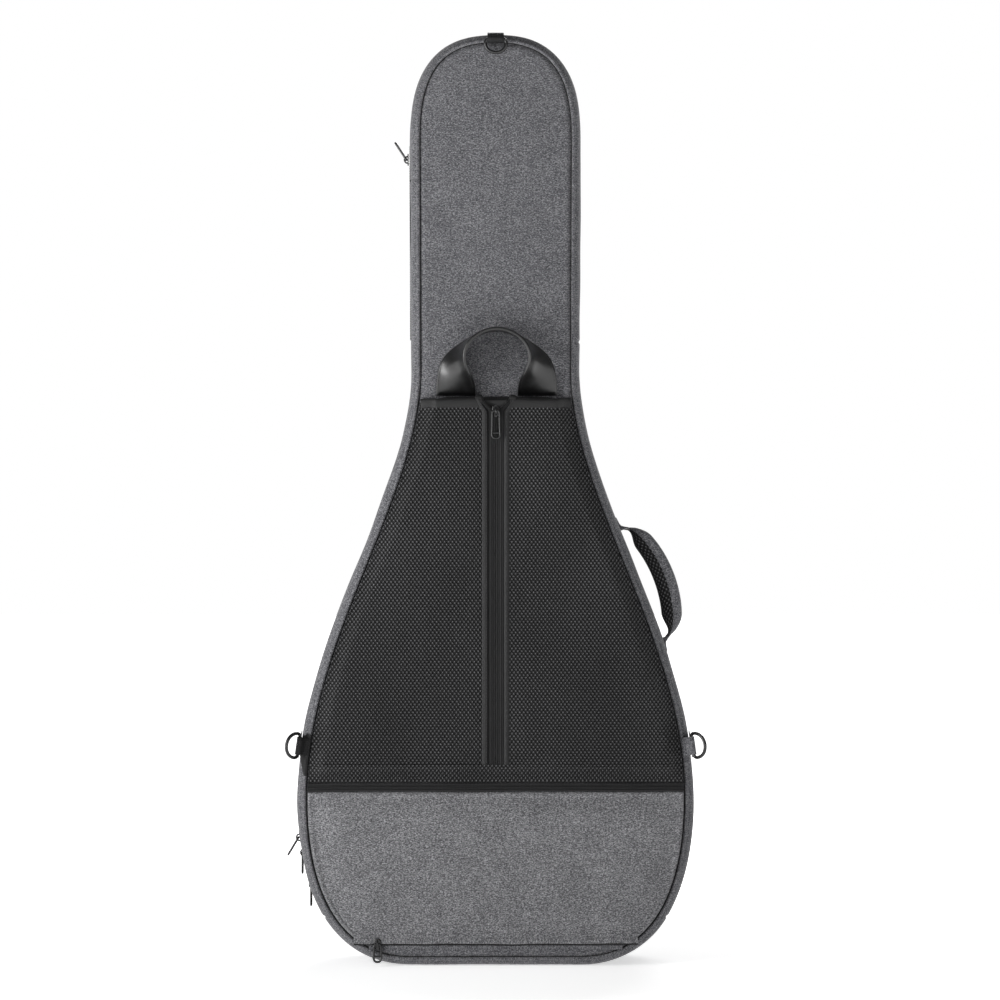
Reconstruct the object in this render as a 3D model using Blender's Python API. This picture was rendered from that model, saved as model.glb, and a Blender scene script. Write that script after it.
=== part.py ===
"""Padded gig bag for a full-size acoustic guitar, built from its separate sewn pieces.

World frame: metres, +Z up along the bag, the carrying side (back) faces -Y, the lid faces +Y.
The origin lies under the bag, on the flat of its bottom gusset.
"""
import math

import bmesh
import bpy
from mathutils import Matrix, Vector

for old in list(bpy.data.objects):
    bpy.data.objects.remove(old, do_unlink=True)

# ---------------------------------------------------------------- driving dimensions
GAP = 0.0003                    # sewing clearance between pieces that touch

BAG_HEIGHT = 1.090
LOWER_HALF_WIDTH = 0.232        # widest point of the lower bout
LOWER_WIDEST_Z = 0.195
BASE_HALF_FLAT = 0.100          # half of the straight part of the bottom
NECK_HALF_WIDTH = 0.0985
NECK_START_Z = 0.6955
HEAD_HALF_WIDTH = 0.0995
HEAD_START_Z = 0.970

BACK_Y = -0.070                 # outer face of the back panel
SPLIT_Y = 0.010                 # plane of the main zip
FRONT_BODY_Y = 0.080            # outer face of the lid over the body
FRONT_HEAD_Y = 0.045            # outer face of the lid at the head
FRONT_TAPER_Z = 0.520           # height where the lid starts to slope back
PANEL_THICK = 0.012             # padded panel
GUSSET_THICK = 0.006            # padded side strip
SEAM_INSET = 0.0105             # from the gusset's bulge to the panel's edge
ZIP_HALF = 0.008                # half of the main zip's width between the gussets
TAPE_THICK = 0.0012
COIL_WIDTH = 0.0013
COIL_HEIGHT = 0.0026
PIPING_RADIUS = 0.0020

SPINE_LOW_Z = 0.120             # fabric spine that the lid opens on
SPINE_HIGH_Z = 0.270
SPINE_END_GAP = 0.0008          # lets the zip's ends swing past the spine's ends
HINGE_X = LOWER_HALF_WIDTH + 0.0015
HEAD_SEAM_Z = 0.920             # cross seams of the gusset
BASE_SEAM_Z = 0.056

MESH_THICK = 0.0035
MESH_LIFT = 0.0157              # how far the stowed straps hold the mesh off the panel
MESH_TOP_Z = 0.663
MESH_BOTTOM_Z = 0.2150
MESH_EDGE_INSET = 0.0125
MESH_RAMP = 0.020
FOLD_MARGIN = 0.005             # flat mesh kept outside the fold at the pocket's top
FOLD_BOTTOM_X = 0.0145
FOLD_BOTTOM_Z = 0.2365
POCKET_ZIP_HALF = 0.0130

LOWER_POCKET_TOP_Z = 0.2035
LOWER_POCKET_LOW_Z = 0.0330
LOWER_POCKET_LIFT = 0.0070
LOWER_POCKET_THICK = 0.0025
LOWER_ZIP_HALF_LENGTH = 0.148
LOWER_ZIP_Z = 0.0260
LOWER_ZIP_HEIGHT = 0.0130

LOOP_CENTRE_X = 0.001
LOOP_LEG_X = 0.0475             # from the loop's centre to the centre of each leg
LOOP_WIDTH = 0.046
LOOP_THICK = 0.004
LOOP_AXIS_Z = 0.6665
LOOP_TOP_Z = 0.746
LOOP_REACH = 0.027              # how far the crown stands off the legs

STRAP_SPACING = 0.024           # between the two stowed straps
STRAP_THICK = 0.012
STRAP_HALF_WIDTH = 0.028

HANDLE_UPPER_Z = 0.513
HANDLE_LOWER_Z = 0.376
HANDLE_Y = -0.024
HANDLE_HALF_WIDTH = 0.019
HANDLE_REACH = 0.030            # from the anchor line to the seam between pad and cover
HANDLE_PAD_THICK = 0.0115
HANDLE_COVER_THICK = 0.011
HANDLE_AXIS_OUT = 0.008
HANDLE_FULLNESS = 0.55          # lower is a squarer arch

RING_ROD = 0.0020
SIDE_RING_Z = 0.2575
SIDE_RING_HALF = 0.0145
SIDE_RING_DEPTH = 0.020
TOP_RING_HALF = 0.0125
TOP_RING_DEPTH = 0.016
TAB_THICK = 0.0012

SLIDER_HALF_WIDTH = 0.0045
SLIDER_HALF_LENGTH = 0.0070
SLIDER_PLATE = 0.0016
BRIDGE_HALF_WIDTH = 0.0012
BRIDGE_RISE = 0.0028
BRIDGE_THICK = 0.0014
PULL_HALF_WIDTH = 0.0042
PULL_ROD = 0.0018
LONG_PULL = 0.032
SHORT_PULL = 0.024

FRONT_POCKET_INSET = 0.034
FRONT_POCKET_LOW_Z = 0.045
FRONT_POCKET_HIGH_Z = 0.500
FRONT_POCKET_LIFT = 0.022
NECK_POCKET_HALF = 0.072
NECK_POCKET_LOW_Z = 0.600
NECK_POCKET_HIGH_Z = 0.930
NECK_POCKET_LIFT = 0.012
POCKET_THICK = 0.003

GREY = (0.145, 0.145, 0.155)
LIGHT_GREY = (0.20, 0.20, 0.205)
BLACK = (0.018, 0.018, 0.020)
METAL = (0.045, 0.045, 0.048)


# ---------------------------------------------------------------- mesh helpers
def material(name, colour, rough, metal):
    mat = bpy.data.materials.new(name)
    mat.use_nodes = True
    shader = mat.node_tree.nodes["Principled BSDF"]
    shader.inputs["Base Color"].default_value = (*colour, 1.0)
    shader.inputs["Roughness"].default_value = rough
    shader.inputs["Metallic"].default_value = metal
    return mat


def solid(name, verts, faces, colour=GREY, rough=0.85, metal=0.0, origin=(0.0, 0.0, 0.0)):
    """One closed body from world points, with its origin at the given point."""
    start = Vector(origin)
    mesh = bpy.data.meshes.new(name)
    mesh.from_pydata([Vector(v) - start for v in verts], [], faces)
    work = bmesh.new()
    work.from_mesh(mesh)
    bmesh.ops.recalc_face_normals(work, faces=work.faces)
    work.to_mesh(mesh)
    work.free()
    mesh.shade_smooth()
    mesh.set_sharp_from_angle(angle=math.radians(38))
    obj = bpy.data.objects.new(name, mesh)
    obj.location = start
    bpy.context.collection.objects.link(obj)
    mesh.materials.append(material(name + "_surface", colour, rough, metal))
    return obj


def sweep(name, sections, closed=False, **look):
    """A solid through a row of matching cross sections."""
    count = len(sections[0])
    verts = [p for section in sections for p in section]
    faces = []
    last = len(sections) if closed else len(sections) - 1
    for i in range(last):
        a = i * count
        b = ((i + 1) % len(sections)) * count
        for k in range(count):
            m = (k + 1) % count
            faces.append((a + k, a + m, b + m, b + k))
    if not closed:
        faces.append(tuple(range(count)))
        faces.append(tuple(range(len(verts) - 1, len(verts) - 1 - count, -1)))
    return solid(name, verts, faces, **look)


def slab(name, outer, inner, **look):
    """A solid between two grids of points that have the same rows and columns."""
    rows = len(outer)
    cols = len(outer[0])
    verts = [p for row in outer for p in row] + [p for row in inner for p in row]
    shift = rows * cols
    faces = []
    for r in range(rows - 1):
        for c in range(cols - 1):
            a = r * cols + c
            quad = (a, a + 1, a + 1 + cols, a + cols)
            faces.append(quad)
            faces.append(tuple(v + shift for v in reversed(quad)))
    rim = list(range(cols))
    rim += [r * cols + cols - 1 for r in range(1, rows)]
    rim += [(rows - 1) * cols + c for c in range(cols - 2, -1, -1)]
    rim += [r * cols for r in range(rows - 2, 0, -1)]
    for k, a in enumerate(rim):
        b = rim[(k + 1) % len(rim)]
        faces.append((b, a, a + shift, b + shift))
    return solid(name, verts, faces, **look)


def cells(name, us, vs, ws, filled, place=None, **look):
    """A blocky solid made of the filled boxes of a grid, mapped to the world by place."""
    place = place or Matrix.Identity(4)
    index = {}
    verts = []
    faces = []

    def vertex(i, j, k):
        if (i, j, k) not in index:
            index[(i, j, k)] = len(verts)
            verts.append(place @ Vector((us[i], vs[j], ws[k])))
        return index[(i, j, k)]

    corners = {
        (1, 0, 0): [(1, 0, 0), (1, 1, 0), (1, 1, 1), (1, 0, 1)],
        (-1, 0, 0): [(0, 0, 0), (0, 0, 1), (0, 1, 1), (0, 1, 0)],
        (0, 1, 0): [(0, 1, 0), (0, 1, 1), (1, 1, 1), (1, 1, 0)],
        (0, -1, 0): [(0, 0, 0), (1, 0, 0), (1, 0, 1), (0, 0, 1)],
        (0, 0, 1): [(0, 0, 1), (1, 0, 1), (1, 1, 1), (0, 1, 1)],
        (0, 0, -1): [(0, 0, 0), (0, 1, 0), (1, 1, 0), (1, 0, 0)],
    }
    for (i, j, k) in sorted(filled):
        for step, quad in corners.items():
            if (i + step[0], j + step[1], k + step[2]) not in filled:
                faces.append(tuple(vertex(i + a, j + b, k + c) for a, b, c in quad))
    return solid(name, verts, faces, **look)


def box(name, low, high, **look):
    return cells(name, (low[0], high[0]), (low[1], high[1]), (low[2], high[2]),
                 {(0, 0, 0)}, **look)


def smooth(t):
    t = min(1.0, max(0.0, t))
    return t * t * (3.0 - 2.0 * t)


def bezier(p0, p1, p2, p3, count):
    """Points after p0, up to and including p3."""
    points = []
    for i in range(1, count + 1):
        t = i / count
        s = 1.0 - t
        points.append(tuple(
            s ** 3 * a + 3 * s * s * t * b + 3 * s * t * t * c + t ** 3 * d
            for a, b, c, d in zip(p0, p1, p2, p3)))
    return points


# ---------------------------------------------------------------- outline of the bag
def half_outline():
    """Bottom to head on the +X side, as (x, z) of the gusset's widest line."""
    base = (BASE_HALF_FLAT, 0.0)
    bout = (LOWER_HALF_WIDTH, LOWER_WIDEST_Z)
    neck = (NECK_HALF_WIDTH, NECK_START_Z)
    head = (HEAD_HALF_WIDTH, HEAD_START_Z)
    crown = (0.0, BAG_HEIGHT)
    points = [(0.0, 0.0), base]
    points += bezier(base, (base[0] + 0.093, 0.0), (bout[0], bout[1] - 0.110), bout, 10)
    points += bezier(bout, (bout[0], bout[1] + 0.190), (neck[0], neck[1] - 0.1475), neck, 12)
    points += [(NECK_HALF_WIDTH + 0.0002, 0.770), (NECK_HALF_WIDTH + 0.0005, 0.845),
               (NECK_HALF_WIDTH + 0.0008, HEAD_SEAM_Z), head]
    points += bezier(head, (head[0], BAG_HEIGHT - 0.035), (0.065, BAG_HEIGHT), crown, 8)
    return points


HALF = half_outline()
LOOP = HALF + [(-x, z) for x, z in reversed(HALF[1:-1])]
COUNT = len(LOOP)
CROWN = len(HALF) - 1


def tangent(i):
    ax, az = LOOP[(i - 1) % COUNT]
    bx, bz = LOOP[(i + 1) % COUNT]
    if i % COUNT == CROWN or i % COUNT == 0:
        return (1.0, 0.0) if i % COUNT == 0 else (-1.0, 0.0)
    length = math.hypot(bx - ax, bz - az)
    return ((bx - ax) / length, (bz - az) / length)


def edge(i, off=0.0, slide=0.0):
    """A point of the outline, moved outwards by off and along the edge by slide."""
    x, z = LOOP[i % COUNT]
    tx, tz = tangent(i)
    if i % COUNT in (1, COUNT - 1):
        tx, tz = 1.0, 0.0
    return (x + tz * off + tx * slide, z - tx * off + tz * slide)


def nearest(z, side):
    """Index of the outline point at a height, on the side given by its sign."""
    choices = [i for i in range(COUNT) if LOOP[i][0] * side > 0.001]
    return min(choices, key=lambda i: abs(LOOP[i][1] - z))


def half_width(z, off=0.0):
    """Half width at a height of the outline moved outwards by off."""
    points = [edge(i, off) for i in range(1, CROWN + 1)]
    for (ax, az), (bx, bz) in zip(points, points[1:]):
        if az <= z <= bz and bz > az:
            return ax + (bx - ax) * (z - az) / (bz - az)
    return points[0][0] if z < points[0][1] else 0.0


def side_point(z, side, off=0.0):
    """Point, outward normal and upward direction of the outline at a height."""
    low = (half_width(z - 0.004), z - 0.004)
    high = (half_width(z + 0.004), z + 0.004)
    up = Vector((side * (high[0] - low[0]), 0.0, high[1] - low[1])).normalized()
    out = Vector((side * up.z, 0.0, -side * up.x))
    return Vector((side * half_width(z), 0.0, z)) + out * off, out, up


def front_y(z):
    """Outer face of the lid at a height."""
    share = max(0.0, (z - FRONT_TAPER_Z) / (BAG_HEIGHT - FRONT_TAPER_Z))
    return FRONT_BODY_Y + (FRONT_HEAD_Y - FRONT_BODY_Y) * share


def strip(name, first, last, profile, end_gap=GAP / 2, **look):
    """A strip sewn along the outline between two of its points."""
    sections = []
    for i in range(first, last + 1):
        slide = 0.0
        if last - first < COUNT:
            slide = end_gap if i == first else (-end_gap if i == last else 0.0)
        section = []
        for y, off in profile(LOOP[i % COUNT][1]):
            x, z = edge(i, off, slide)
            section.append((x, y, z))
        sections.append(section)
    closed = last - first >= COUNT
    if closed:
        sections.pop()
    return sweep(name, sections, closed=closed, **look)


def panel(name, inset, y_low, y_high, **look):
    """A board with the bag's outline between two faces that may slope with height."""
    low = []
    high = []
    for i in range(1, CROWN):
        x, z = edge(i, -inset)
        low.append([(-x, y_low(z), z), (x, y_low(z), z)])
        high.append([(-x, y_high(z), z), (x, y_high(z), z)])
    top = edge(CROWN, -inset)[1]
    verts = [p for row in low for p in row] + [(0.0, y_low(top), top)]
    shift = len(verts)
    verts += [p for row in high for p in row] + [(0.0, y_high(top), top)]
    faces = []
    for r in range(len(low) - 1):
        quad = (2 * r, 2 * r + 1, 2 * r + 3, 2 * r + 2)
        faces.append(quad)
        faces.append(tuple(v + shift for v in reversed(quad)))
        faces.append((2 * r, 2 * r + 2, 2 * r + 2 + shift, 2 * r + shift))
        faces.append((2 * r + 3, 2 * r + 1, 2 * r + 1 + shift, 2 * r + 3 + shift))
    a = shift - 3
    faces.append((a, a + 1, a + 2))
    faces.append((a + 2 + shift, a + 1 + shift, a + shift))
    faces.append((a, a + 2, a + 2 + shift, a + shift))
    faces.append((a + 2, a + 1, a + 1 + shift, a + 2 + shift))
    faces.append((1, 0, shift, 1 + shift))
    return solid(name, verts, faces, **look)


def circle(centre, axis_a, axis_b, radius, sides):
    return [centre + axis_a * (radius * math.cos(2 * math.pi * k / sides))
            + axis_b * (radius * math.sin(2 * math.pi * k / sides)) for k in range(sides)]


# ---------------------------------------------------------------- back half
def back_gusset(z):
    top = SPLIT_Y - ZIP_HALF - GAP
    return [(BACK_Y + 0.0045, -SEAM_INSET + GAP), (BACK_Y + 0.0085, -0.0030),
            (BACK_Y + 0.018, 0.0), (top, 0.0), (top, -GUSSET_THICK),
            (BACK_Y + 0.020, -GUSSET_THICK), (BACK_Y + PANEL_THICK + GAP, -SEAM_INSET + GAP)]


def lid_gusset(z):
    face = front_y(z)
    low = SPLIT_Y + ZIP_HALF + GAP
    return [(face - 0.0045, -SEAM_INSET + GAP), (face - 0.0085, -0.0030),
            (face - 0.018, 0.0), (low, 0.0), (low, -GUSSET_THICK),
            (face - 0.020, -GUSSET_THICK), (face - PANEL_THICK - GAP, -SEAM_INSET + GAP)]


def tape_profile(side):
    """Main zip tape with its row of coils, on the back (-1) or the lid (+1) side."""
    far = SPLIT_Y + side * ZIP_HALF
    step = SPLIT_Y + side * (COIL_WIDTH + GAP / 2)
    near = SPLIT_Y + side * GAP / 2
    return [(far, -0.0018), (step, -0.0018), (step, -0.0008), (near, -0.0008),
            (near, -0.0038), (step, -0.0038), (step, -0.0018 - TAPE_THICK),
            (far, -0.0018 - TAPE_THICK)]


right_base = nearest(BASE_SEAM_Z, 1)
left_base = nearest(BASE_SEAM_Z, -1)
right_head = nearest(HEAD_SEAM_Z, 1)
left_head = nearest(HEAD_SEAM_Z, -1)
spine_low = nearest(SPINE_LOW_Z, 1)
spine_high = nearest(SPINE_HIGH_Z, 1)

panel("back_panel", SEAM_INSET, lambda z: BACK_Y, lambda z: BACK_Y + PANEL_THICK)
panel("lid_panel", SEAM_INSET, lambda z: front_y(z) - PANEL_THICK, front_y)

for prefix, profile in (("gusset", back_gusset), ("lid_gusset", lid_gusset)):
    strip(prefix + "_right", right_base, right_head, profile)
    strip(prefix + "_head", right_head, left_head, profile)
    strip(prefix + "_left", left_head, left_base, profile)
    strip(prefix + "_bottom", left_base, right_base + COUNT, profile)

for name, face in (("back_piping", lambda z: BACK_Y + 0.0019),
                   ("lid_piping", lambda z: front_y(z) - 0.0019)):
    strip(name, 0, COUNT, lambda z, face=face: [
        (face(z) + PIPING_RADIUS * math.cos(math.pi * k / 3),
         -SEAM_INSET + PIPING_RADIUS + PIPING_RADIUS * math.sin(math.pi * k / 3))
        for k in range(6)])

strip("main_zip_back", spine_high, spine_low + COUNT, lambda z: tape_profile(-1), colour=BLACK)
strip("main_zip_lid", spine_high, spine_low + COUNT, lambda z: tape_profile(1), colour=BLACK)
strip("hinge_spine", spine_low, spine_high, lambda z: [
    (SPLIT_Y - ZIP_HALF, -0.0005), (SPLIT_Y + ZIP_HALF, -0.0005),
    (SPLIT_Y + ZIP_HALF, -0.0035), (SPLIT_Y - ZIP_HALF, -0.0035)], end_gap=SPINE_END_GAP)


# ---------------------------------------------------------------- mesh strap pocket
def mesh_height(x, z):
    """Height of the mesh's inner face above the back panel."""
    from_side = half_width(z, -MESH_EDGE_INSET) - abs(x)
    return MESH_LIFT * smooth(from_side / MESH_RAMP) * smooth((z - MESH_BOTTOM_Z) / MESH_RAMP)


FOLD_TOP_X = half_width(MESH_TOP_Z, -MESH_EDGE_INSET) - MESH_RAMP - FOLD_MARGIN
STRAP_X = STRAP_SPACING / 2 + STRAP_HALF_WIDTH


def fold_x(z):
    share = max(0.0, (z - FOLD_BOTTOM_Z) / (MESH_TOP_Z - FOLD_BOTTOM_Z))
    return FOLD_BOTTOM_X + (FOLD_TOP_X - FOLD_BOTTOM_X) * share


def mesh_side(side):
    """Fixed outer part of the mesh pocket, from the side seam to the fold."""
    outer = []
    inner = []
    heights = [MESH_BOTTOM_Z, MESH_BOTTOM_Z + 0.007, MESH_BOTTOM_Z + 0.014, FOLD_BOTTOM_Z - GAP]
    heights += [FOLD_BOTTOM_Z]
    heights += [FOLD_BOTTOM_Z + (MESH_TOP_Z - FOLD_BOTTOM_Z) * k / 10 for k in range(1, 11)]
    for z in heights:
        rim = half_width(z, -MESH_EDGE_INSET)
        stop = fold_x(z) + GAP if z >= FOLD_BOTTOM_Z else GAP / 2
        columns = [rim, rim - 0.30 * MESH_RAMP, rim - 0.55 * MESH_RAMP, rim - 0.8 * MESH_RAMP,
                   rim - MESH_RAMP]
        flat = rim - MESH_RAMP - stop
        columns += [rim - MESH_RAMP - flat * k / 3 for k in (1, 2, 3)]
        row = []
        under = []
        for x in columns:
            base = BACK_Y - GAP - mesh_height(x, z)
            row.append((side * x, base - MESH_THICK, z))
            under.append((side * x, base, z))
        outer.append(row)
        inner.append(under)
    return slab("mesh_side_" + ("right" if side > 0 else "left"), outer, inner, colour=BLACK)


PLATEAU_Y = BACK_Y - GAP - MESH_LIFT
FOLD_AXIS_Y = PLATEAU_Y - MESH_THICK
ZIP_EDGE = 0.0002 + COIL_WIDTH


def mesh_flap(side):
    """Moving inner triangle beside the centre zip; its origin lies on the fold."""
    rows = 8
    outer = []
    inner = []
    for r in range(rows + 1):
        share = r / rows
        z = FOLD_BOTTOM_Z + 0.012 + (MESH_TOP_Z - FOLD_BOTTOM_Z - 0.012) * share
        start = fold_x(z)
        stop = POCKET_ZIP_HALF + GAP
        row = [(side * (start + (stop - start) * k / 2), PLATEAU_Y - MESH_THICK, z)
               for k in range(3)]
        outer.append(row)
        inner.append([(x, PLATEAU_Y, z) for x, y, z in row])
    return slab("mesh_flap_" + ("right" if side > 0 else "left"), outer, inner, colour=BLACK,
                origin=(side * FOLD_TOP_X, FOLD_AXIS_Y, MESH_TOP_Z))


def pocket_tape(side):
    """Half of the pocket's centre zip, on the flap's inner edge."""
    face = PLATEAU_Y - MESH_THICK
    outline = [(POCKET_ZIP_HALF, face - TAPE_THICK), (ZIP_EDGE, face - TAPE_THICK),
               (ZIP_EDGE, face - COIL_HEIGHT), (0.0002, face - COIL_HEIGHT), (0.0002, face),
               (POCKET_ZIP_HALF, face)]
    sections = []
    for z in (FOLD_BOTTOM_Z + GAP, MESH_TOP_Z):
        sections.append([(side * x, y, z) for x, y in outline])
    return sweep("pocket_zip_" + ("right" if side > 0 else "left"), sections, colour=BLACK,
                 origin=(side * FOLD_TOP_X, FOLD_AXIS_Y, MESH_TOP_Z))


for side in (-1, 1):
    mesh_side(side)
    mesh_flap(side)
    pocket_tape(side)


def flat_band(name, low_z, high_z, inset, y_near, y_far, **look):
    """A band across the back between two heights, following the side seams."""
    rows = [(half_width(z, -inset), z) for z in (low_z, (low_z + high_z) / 2, high_z)]
    outer = [[(-x, y_far, z), (0.0, y_far, z), (x, y_far, z)] for x, z in rows]
    inner = [[(px, y_near, pz) for px, py, pz in row] for row in outer]
    return slab(name, outer, inner, **look)


flat_band("mesh_bottom_tape", LOWER_POCKET_TOP_Z + GAP, MESH_BOTTOM_Z - GAP, MESH_EDGE_INSET,
          BACK_Y - GAP, BACK_Y - GAP - 0.0022, colour=BLACK)


# ---------------------------------------------------------------- lower back pocket
def domed(name, heights, half_at, lift, ramp_x, ramp_z, face, outward, thick, **look):
    """A soft pocket panel that rises from its seams to a flat crown."""
    outer = []
    inner = []
    for z in heights:
        half = half_at(z)
        shares = (0.0, 0.25, 0.5, 0.75, 1.0)
        xs = [half - ramp_x * s for s in shares]
        xs = xs + [0.0] + [-x for x in reversed(xs)]
        row = []
        under = []
        for x in xs:
            rise = lift * smooth((half - abs(x)) / ramp_x)
            rise *= smooth((z - heights[0]) / ramp_z) * smooth((heights[-1] - z) / ramp_z)
            y = face(z) + outward * (GAP + rise)
            under.append((x, y, z))
            row.append((x, y + outward * thick, z))
        outer.append(row)
        inner.append(under)
    return slab(name, outer, inner, **look)


def ramped_heights(low, high, ramp, middle):
    steps = [ramp * k / 4 for k in range(5)]
    inner = [low + ramp + (high - low - 2 * ramp) * k / (middle + 1) for k in range(1, middle + 1)]
    return [low + s for s in steps] + inner + [high - s for s in reversed(steps)]


domed("lower_pocket", ramped_heights(LOWER_POCKET_LOW_Z, LOWER_POCKET_TOP_Z, 0.030, 3),
      lambda z: half_width(z, -MESH_EDGE_INSET), LOWER_POCKET_LIFT, 0.040, 0.030,
      lambda z: BACK_Y, -1.0, LOWER_POCKET_THICK, colour=LIGHT_GREY)

LOWER_ZIP_FACE = BACK_Y - GAP - TAPE_THICK - 0.0010
cells("lower_pocket_zip", (-LOWER_ZIP_HALF_LENGTH, LOWER_ZIP_HALF_LENGTH),
      (LOWER_ZIP_FACE, BACK_Y - GAP - TAPE_THICK, BACK_Y - GAP),
      (LOWER_ZIP_Z - LOWER_ZIP_HEIGHT / 2, LOWER_ZIP_Z - 0.0015, LOWER_ZIP_Z + 0.0015,
       LOWER_ZIP_Z + LOWER_ZIP_HEIGHT / 2),
      {(0, 1, 0), (0, 1, 1), (0, 1, 2), (0, 0, 1)}, colour=BLACK)


# ---------------------------------------------------------------- haul loop
def loop_turn(lift):
    """How far the band has turned edge on, from 0 at its legs to a right angle at its crown."""
    return math.sin(min(1.0, lift) * math.pi / 2) * math.pi / 2


def haul_loop():
    """Wide flat band: each leg lies against the back, then turns edge on at the crown."""
    steps = 24
    sections = []
    rise = LOOP_TOP_Z - LOOP_AXIS_Z
    for i in range(steps + 1):
        share = i / steps
        angle = math.pi * (1.0 - share)
        lift = math.sin(angle)
        bow = 1.0 + 0.12 * math.sin(2 * angle) ** 2
        point = Vector((LOOP_CENTRE_X + LOOP_LEG_X * math.cos(angle) * bow,
                        BACK_Y - 0.0035 - LOOP_REACH * math.sin(loop_turn(lift)),
                        LOOP_AXIS_Z - 0.0004 + rise * lift ** 0.8))
        sections.append(point)
    frames = []
    for i, point in enumerate(sections):
        before = sections[max(0, i - 1)]
        after = sections[min(steps, i + 1)]
        along = (after - before).normalized()
        if i in (0, steps):
            along = Vector((0, 0, 1 if i == 0 else -1))
        inward = Vector((along.z, 0.0, -along.x)).normalized()
        turn = loop_turn(math.sin(math.pi * i / steps))
        width = inward * math.cos(turn) + Vector((0, -1, 0)) * math.sin(turn)
        width = (width - along * width.dot(along)).normalized()
        normal = along.cross(width)
        half = LOOP_WIDTH / 2
        thick = LOOP_THICK / 2 if 0 < i < steps else 0.0008
        frames.append([point + width * (half * a) + normal * (thick * b)
                       for a, b in ((-1, -0.5), (-0.96, -1), (0.96, -1), (1, -0.5),
                                    (1, 0.5), (0.96, 1), (-0.96, 1), (-1, 0.5))])
    return sweep("haul_loop", frames, colour=BLACK, rough=0.3,
                 origin=(LOOP_CENTRE_X, BACK_Y - 0.0035, LOOP_AXIS_Z))


haul_loop()
box("haul_anchor", (LOOP_CENTRE_X - LOOP_LEG_X - LOOP_WIDTH / 2, BACK_Y - 0.0055, 0.628),
    (LOOP_CENTRE_X + LOOP_LEG_X + LOOP_WIDTH / 2, BACK_Y - GAP, LOOP_AXIS_Z - 0.0013),
    colour=BLACK)


# ---------------------------------------------------------------- stowed shoulder straps
def ring_path(points, rod, sides, name, **look):
    """A closed rod through points, each given with its in-plane outward direction."""
    sections = []
    for point, outward, plane in points:
        sections.append(circle(point, outward, plane, rod, sides))
    return sweep(name, sections, closed=True, **look)


for side, word in ((-1, "left"), (1, "right")):
    rows = [(0.262, 0.013), (0.275, 0.024), (0.300, STRAP_HALF_WIDTH),
            (0.590, STRAP_HALF_WIDTH), (0.615, 0.024), (0.625, 0.018)]
    centre = side * STRAP_X
    outer = []
    inner = []
    for z, half in rows:
        outer.append([(centre - half, BACK_Y - 2 * GAP - STRAP_THICK + 0.003, z),
                      (centre - half * 0.75, BACK_Y - 2 * GAP - STRAP_THICK, z),
                      (centre + half * 0.75, BACK_Y - 2 * GAP - STRAP_THICK, z),
                      (centre + half, BACK_Y - 2 * GAP - STRAP_THICK + 0.003, z)])
        inner.append([(x, BACK_Y - GAP, z2) for x, y, z2 in outer[-1]])
    slab("strap_pad_" + word, outer, inner)
    hook = []
    for k in range(16):
        angle = 2 * math.pi * k / 16
        outward = Vector((math.cos(angle), 0.0, math.sin(angle)))
        point = Vector((centre + 0.008 * math.cos(angle), BACK_Y - 0.0065,
                        0.2475 + 0.0120 * math.sin(angle)))
        hook.append((point, outward, Vector((0, 1, 0))))
    ring_path(hook, 0.0020, 6, "strap_hook_" + word, colour=METAL, rough=0.3, metal=0.6)


# ---------------------------------------------------------------- rings and their tabs
def d_ring(name, centre, bar, reach, half, depth):
    """A D-ring: straight bar along 'bar', bow pointing along 'reach'; origin on the bar."""
    plane = bar.cross(reach)
    points = [(centre + bar * (-half + 0.0025), -reach, plane),
              (centre, -reach, plane),
              (centre + bar * (half - 0.0025), -reach, plane)]
    steps = 12
    for k in range(steps + 1):
        angle = math.pi * k / steps
        outward = bar * math.cos(angle) + reach * math.sin(angle)
        place = centre + bar * (half * math.cos(angle)) + reach * (
            0.0025 + (depth - 0.0025) * math.sin(angle) ** 0.8)
        points.append((place, outward.normalized(), plane))
    return ring_path(points, RING_ROD, 6, name, colour=METAL, rough=0.25, metal=0.7,
                     origin=centre)


def ribbon(name, path, across, half, thick, **look):
    """A webbing strip along a path, flat across the given direction."""
    sections = []
    for i, point in enumerate(path):
        before = path[max(0, i - 1)]
        after = path[min(len(path) - 1, i + 1)]
        along = (after - before).normalized()
        normal = along.cross(across).normalized()
        width = half[i] if isinstance(half, (list, tuple)) else half
        sections.append([point + across * (width * a) + normal * (thick / 2 * b)
                         for a, b in ((-1, -1), (1, -1), (1, 1), (-1, 1))])
    return sweep(name, sections, **look)


for side, word in ((-1, "left"), (1, "right")):
    foot, out, up = side_point(SIDE_RING_Z, side)
    back = Vector((0, -1, 0))
    bar_at = foot + out * 0.0020 + Vector((0, BACK_Y - 0.0050, 0))
    reach = (out + back).normalized()
    d_ring("side_ring_" + word, bar_at, up, reach, SIDE_RING_HALF, SIDE_RING_DEPTH)
    wrap = RING_ROD + 0.0004 + TAB_THICK / 2
    path = [foot + out * 0.0011 + Vector((0, BACK_Y + 0.024, 0)),
            foot + out * 0.0011 + Vector((0, BACK_Y + 0.012, 0)),
            foot + out * 0.0030 + Vector((0, BACK_Y + 0.0025, 0))]
    for degrees in (-15, 15, 45, 75, 105, 135):
        angle = math.radians(degrees)
        path.append(bar_at + out * (wrap * math.cos(angle)) + back * (wrap * math.sin(angle)))
    path.append(foot + out * -0.0040 + Vector((0, BACK_Y - 0.0034, 0)))
    path.append(foot + out * -0.0088 + Vector((0, BACK_Y - 0.0012, 0)))
    widths = [0.016, 0.013] + [0.0105] * 9
    ribbon("side_tab_" + word, path, up, widths, TAB_THICK, colour=BLACK)

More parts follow.
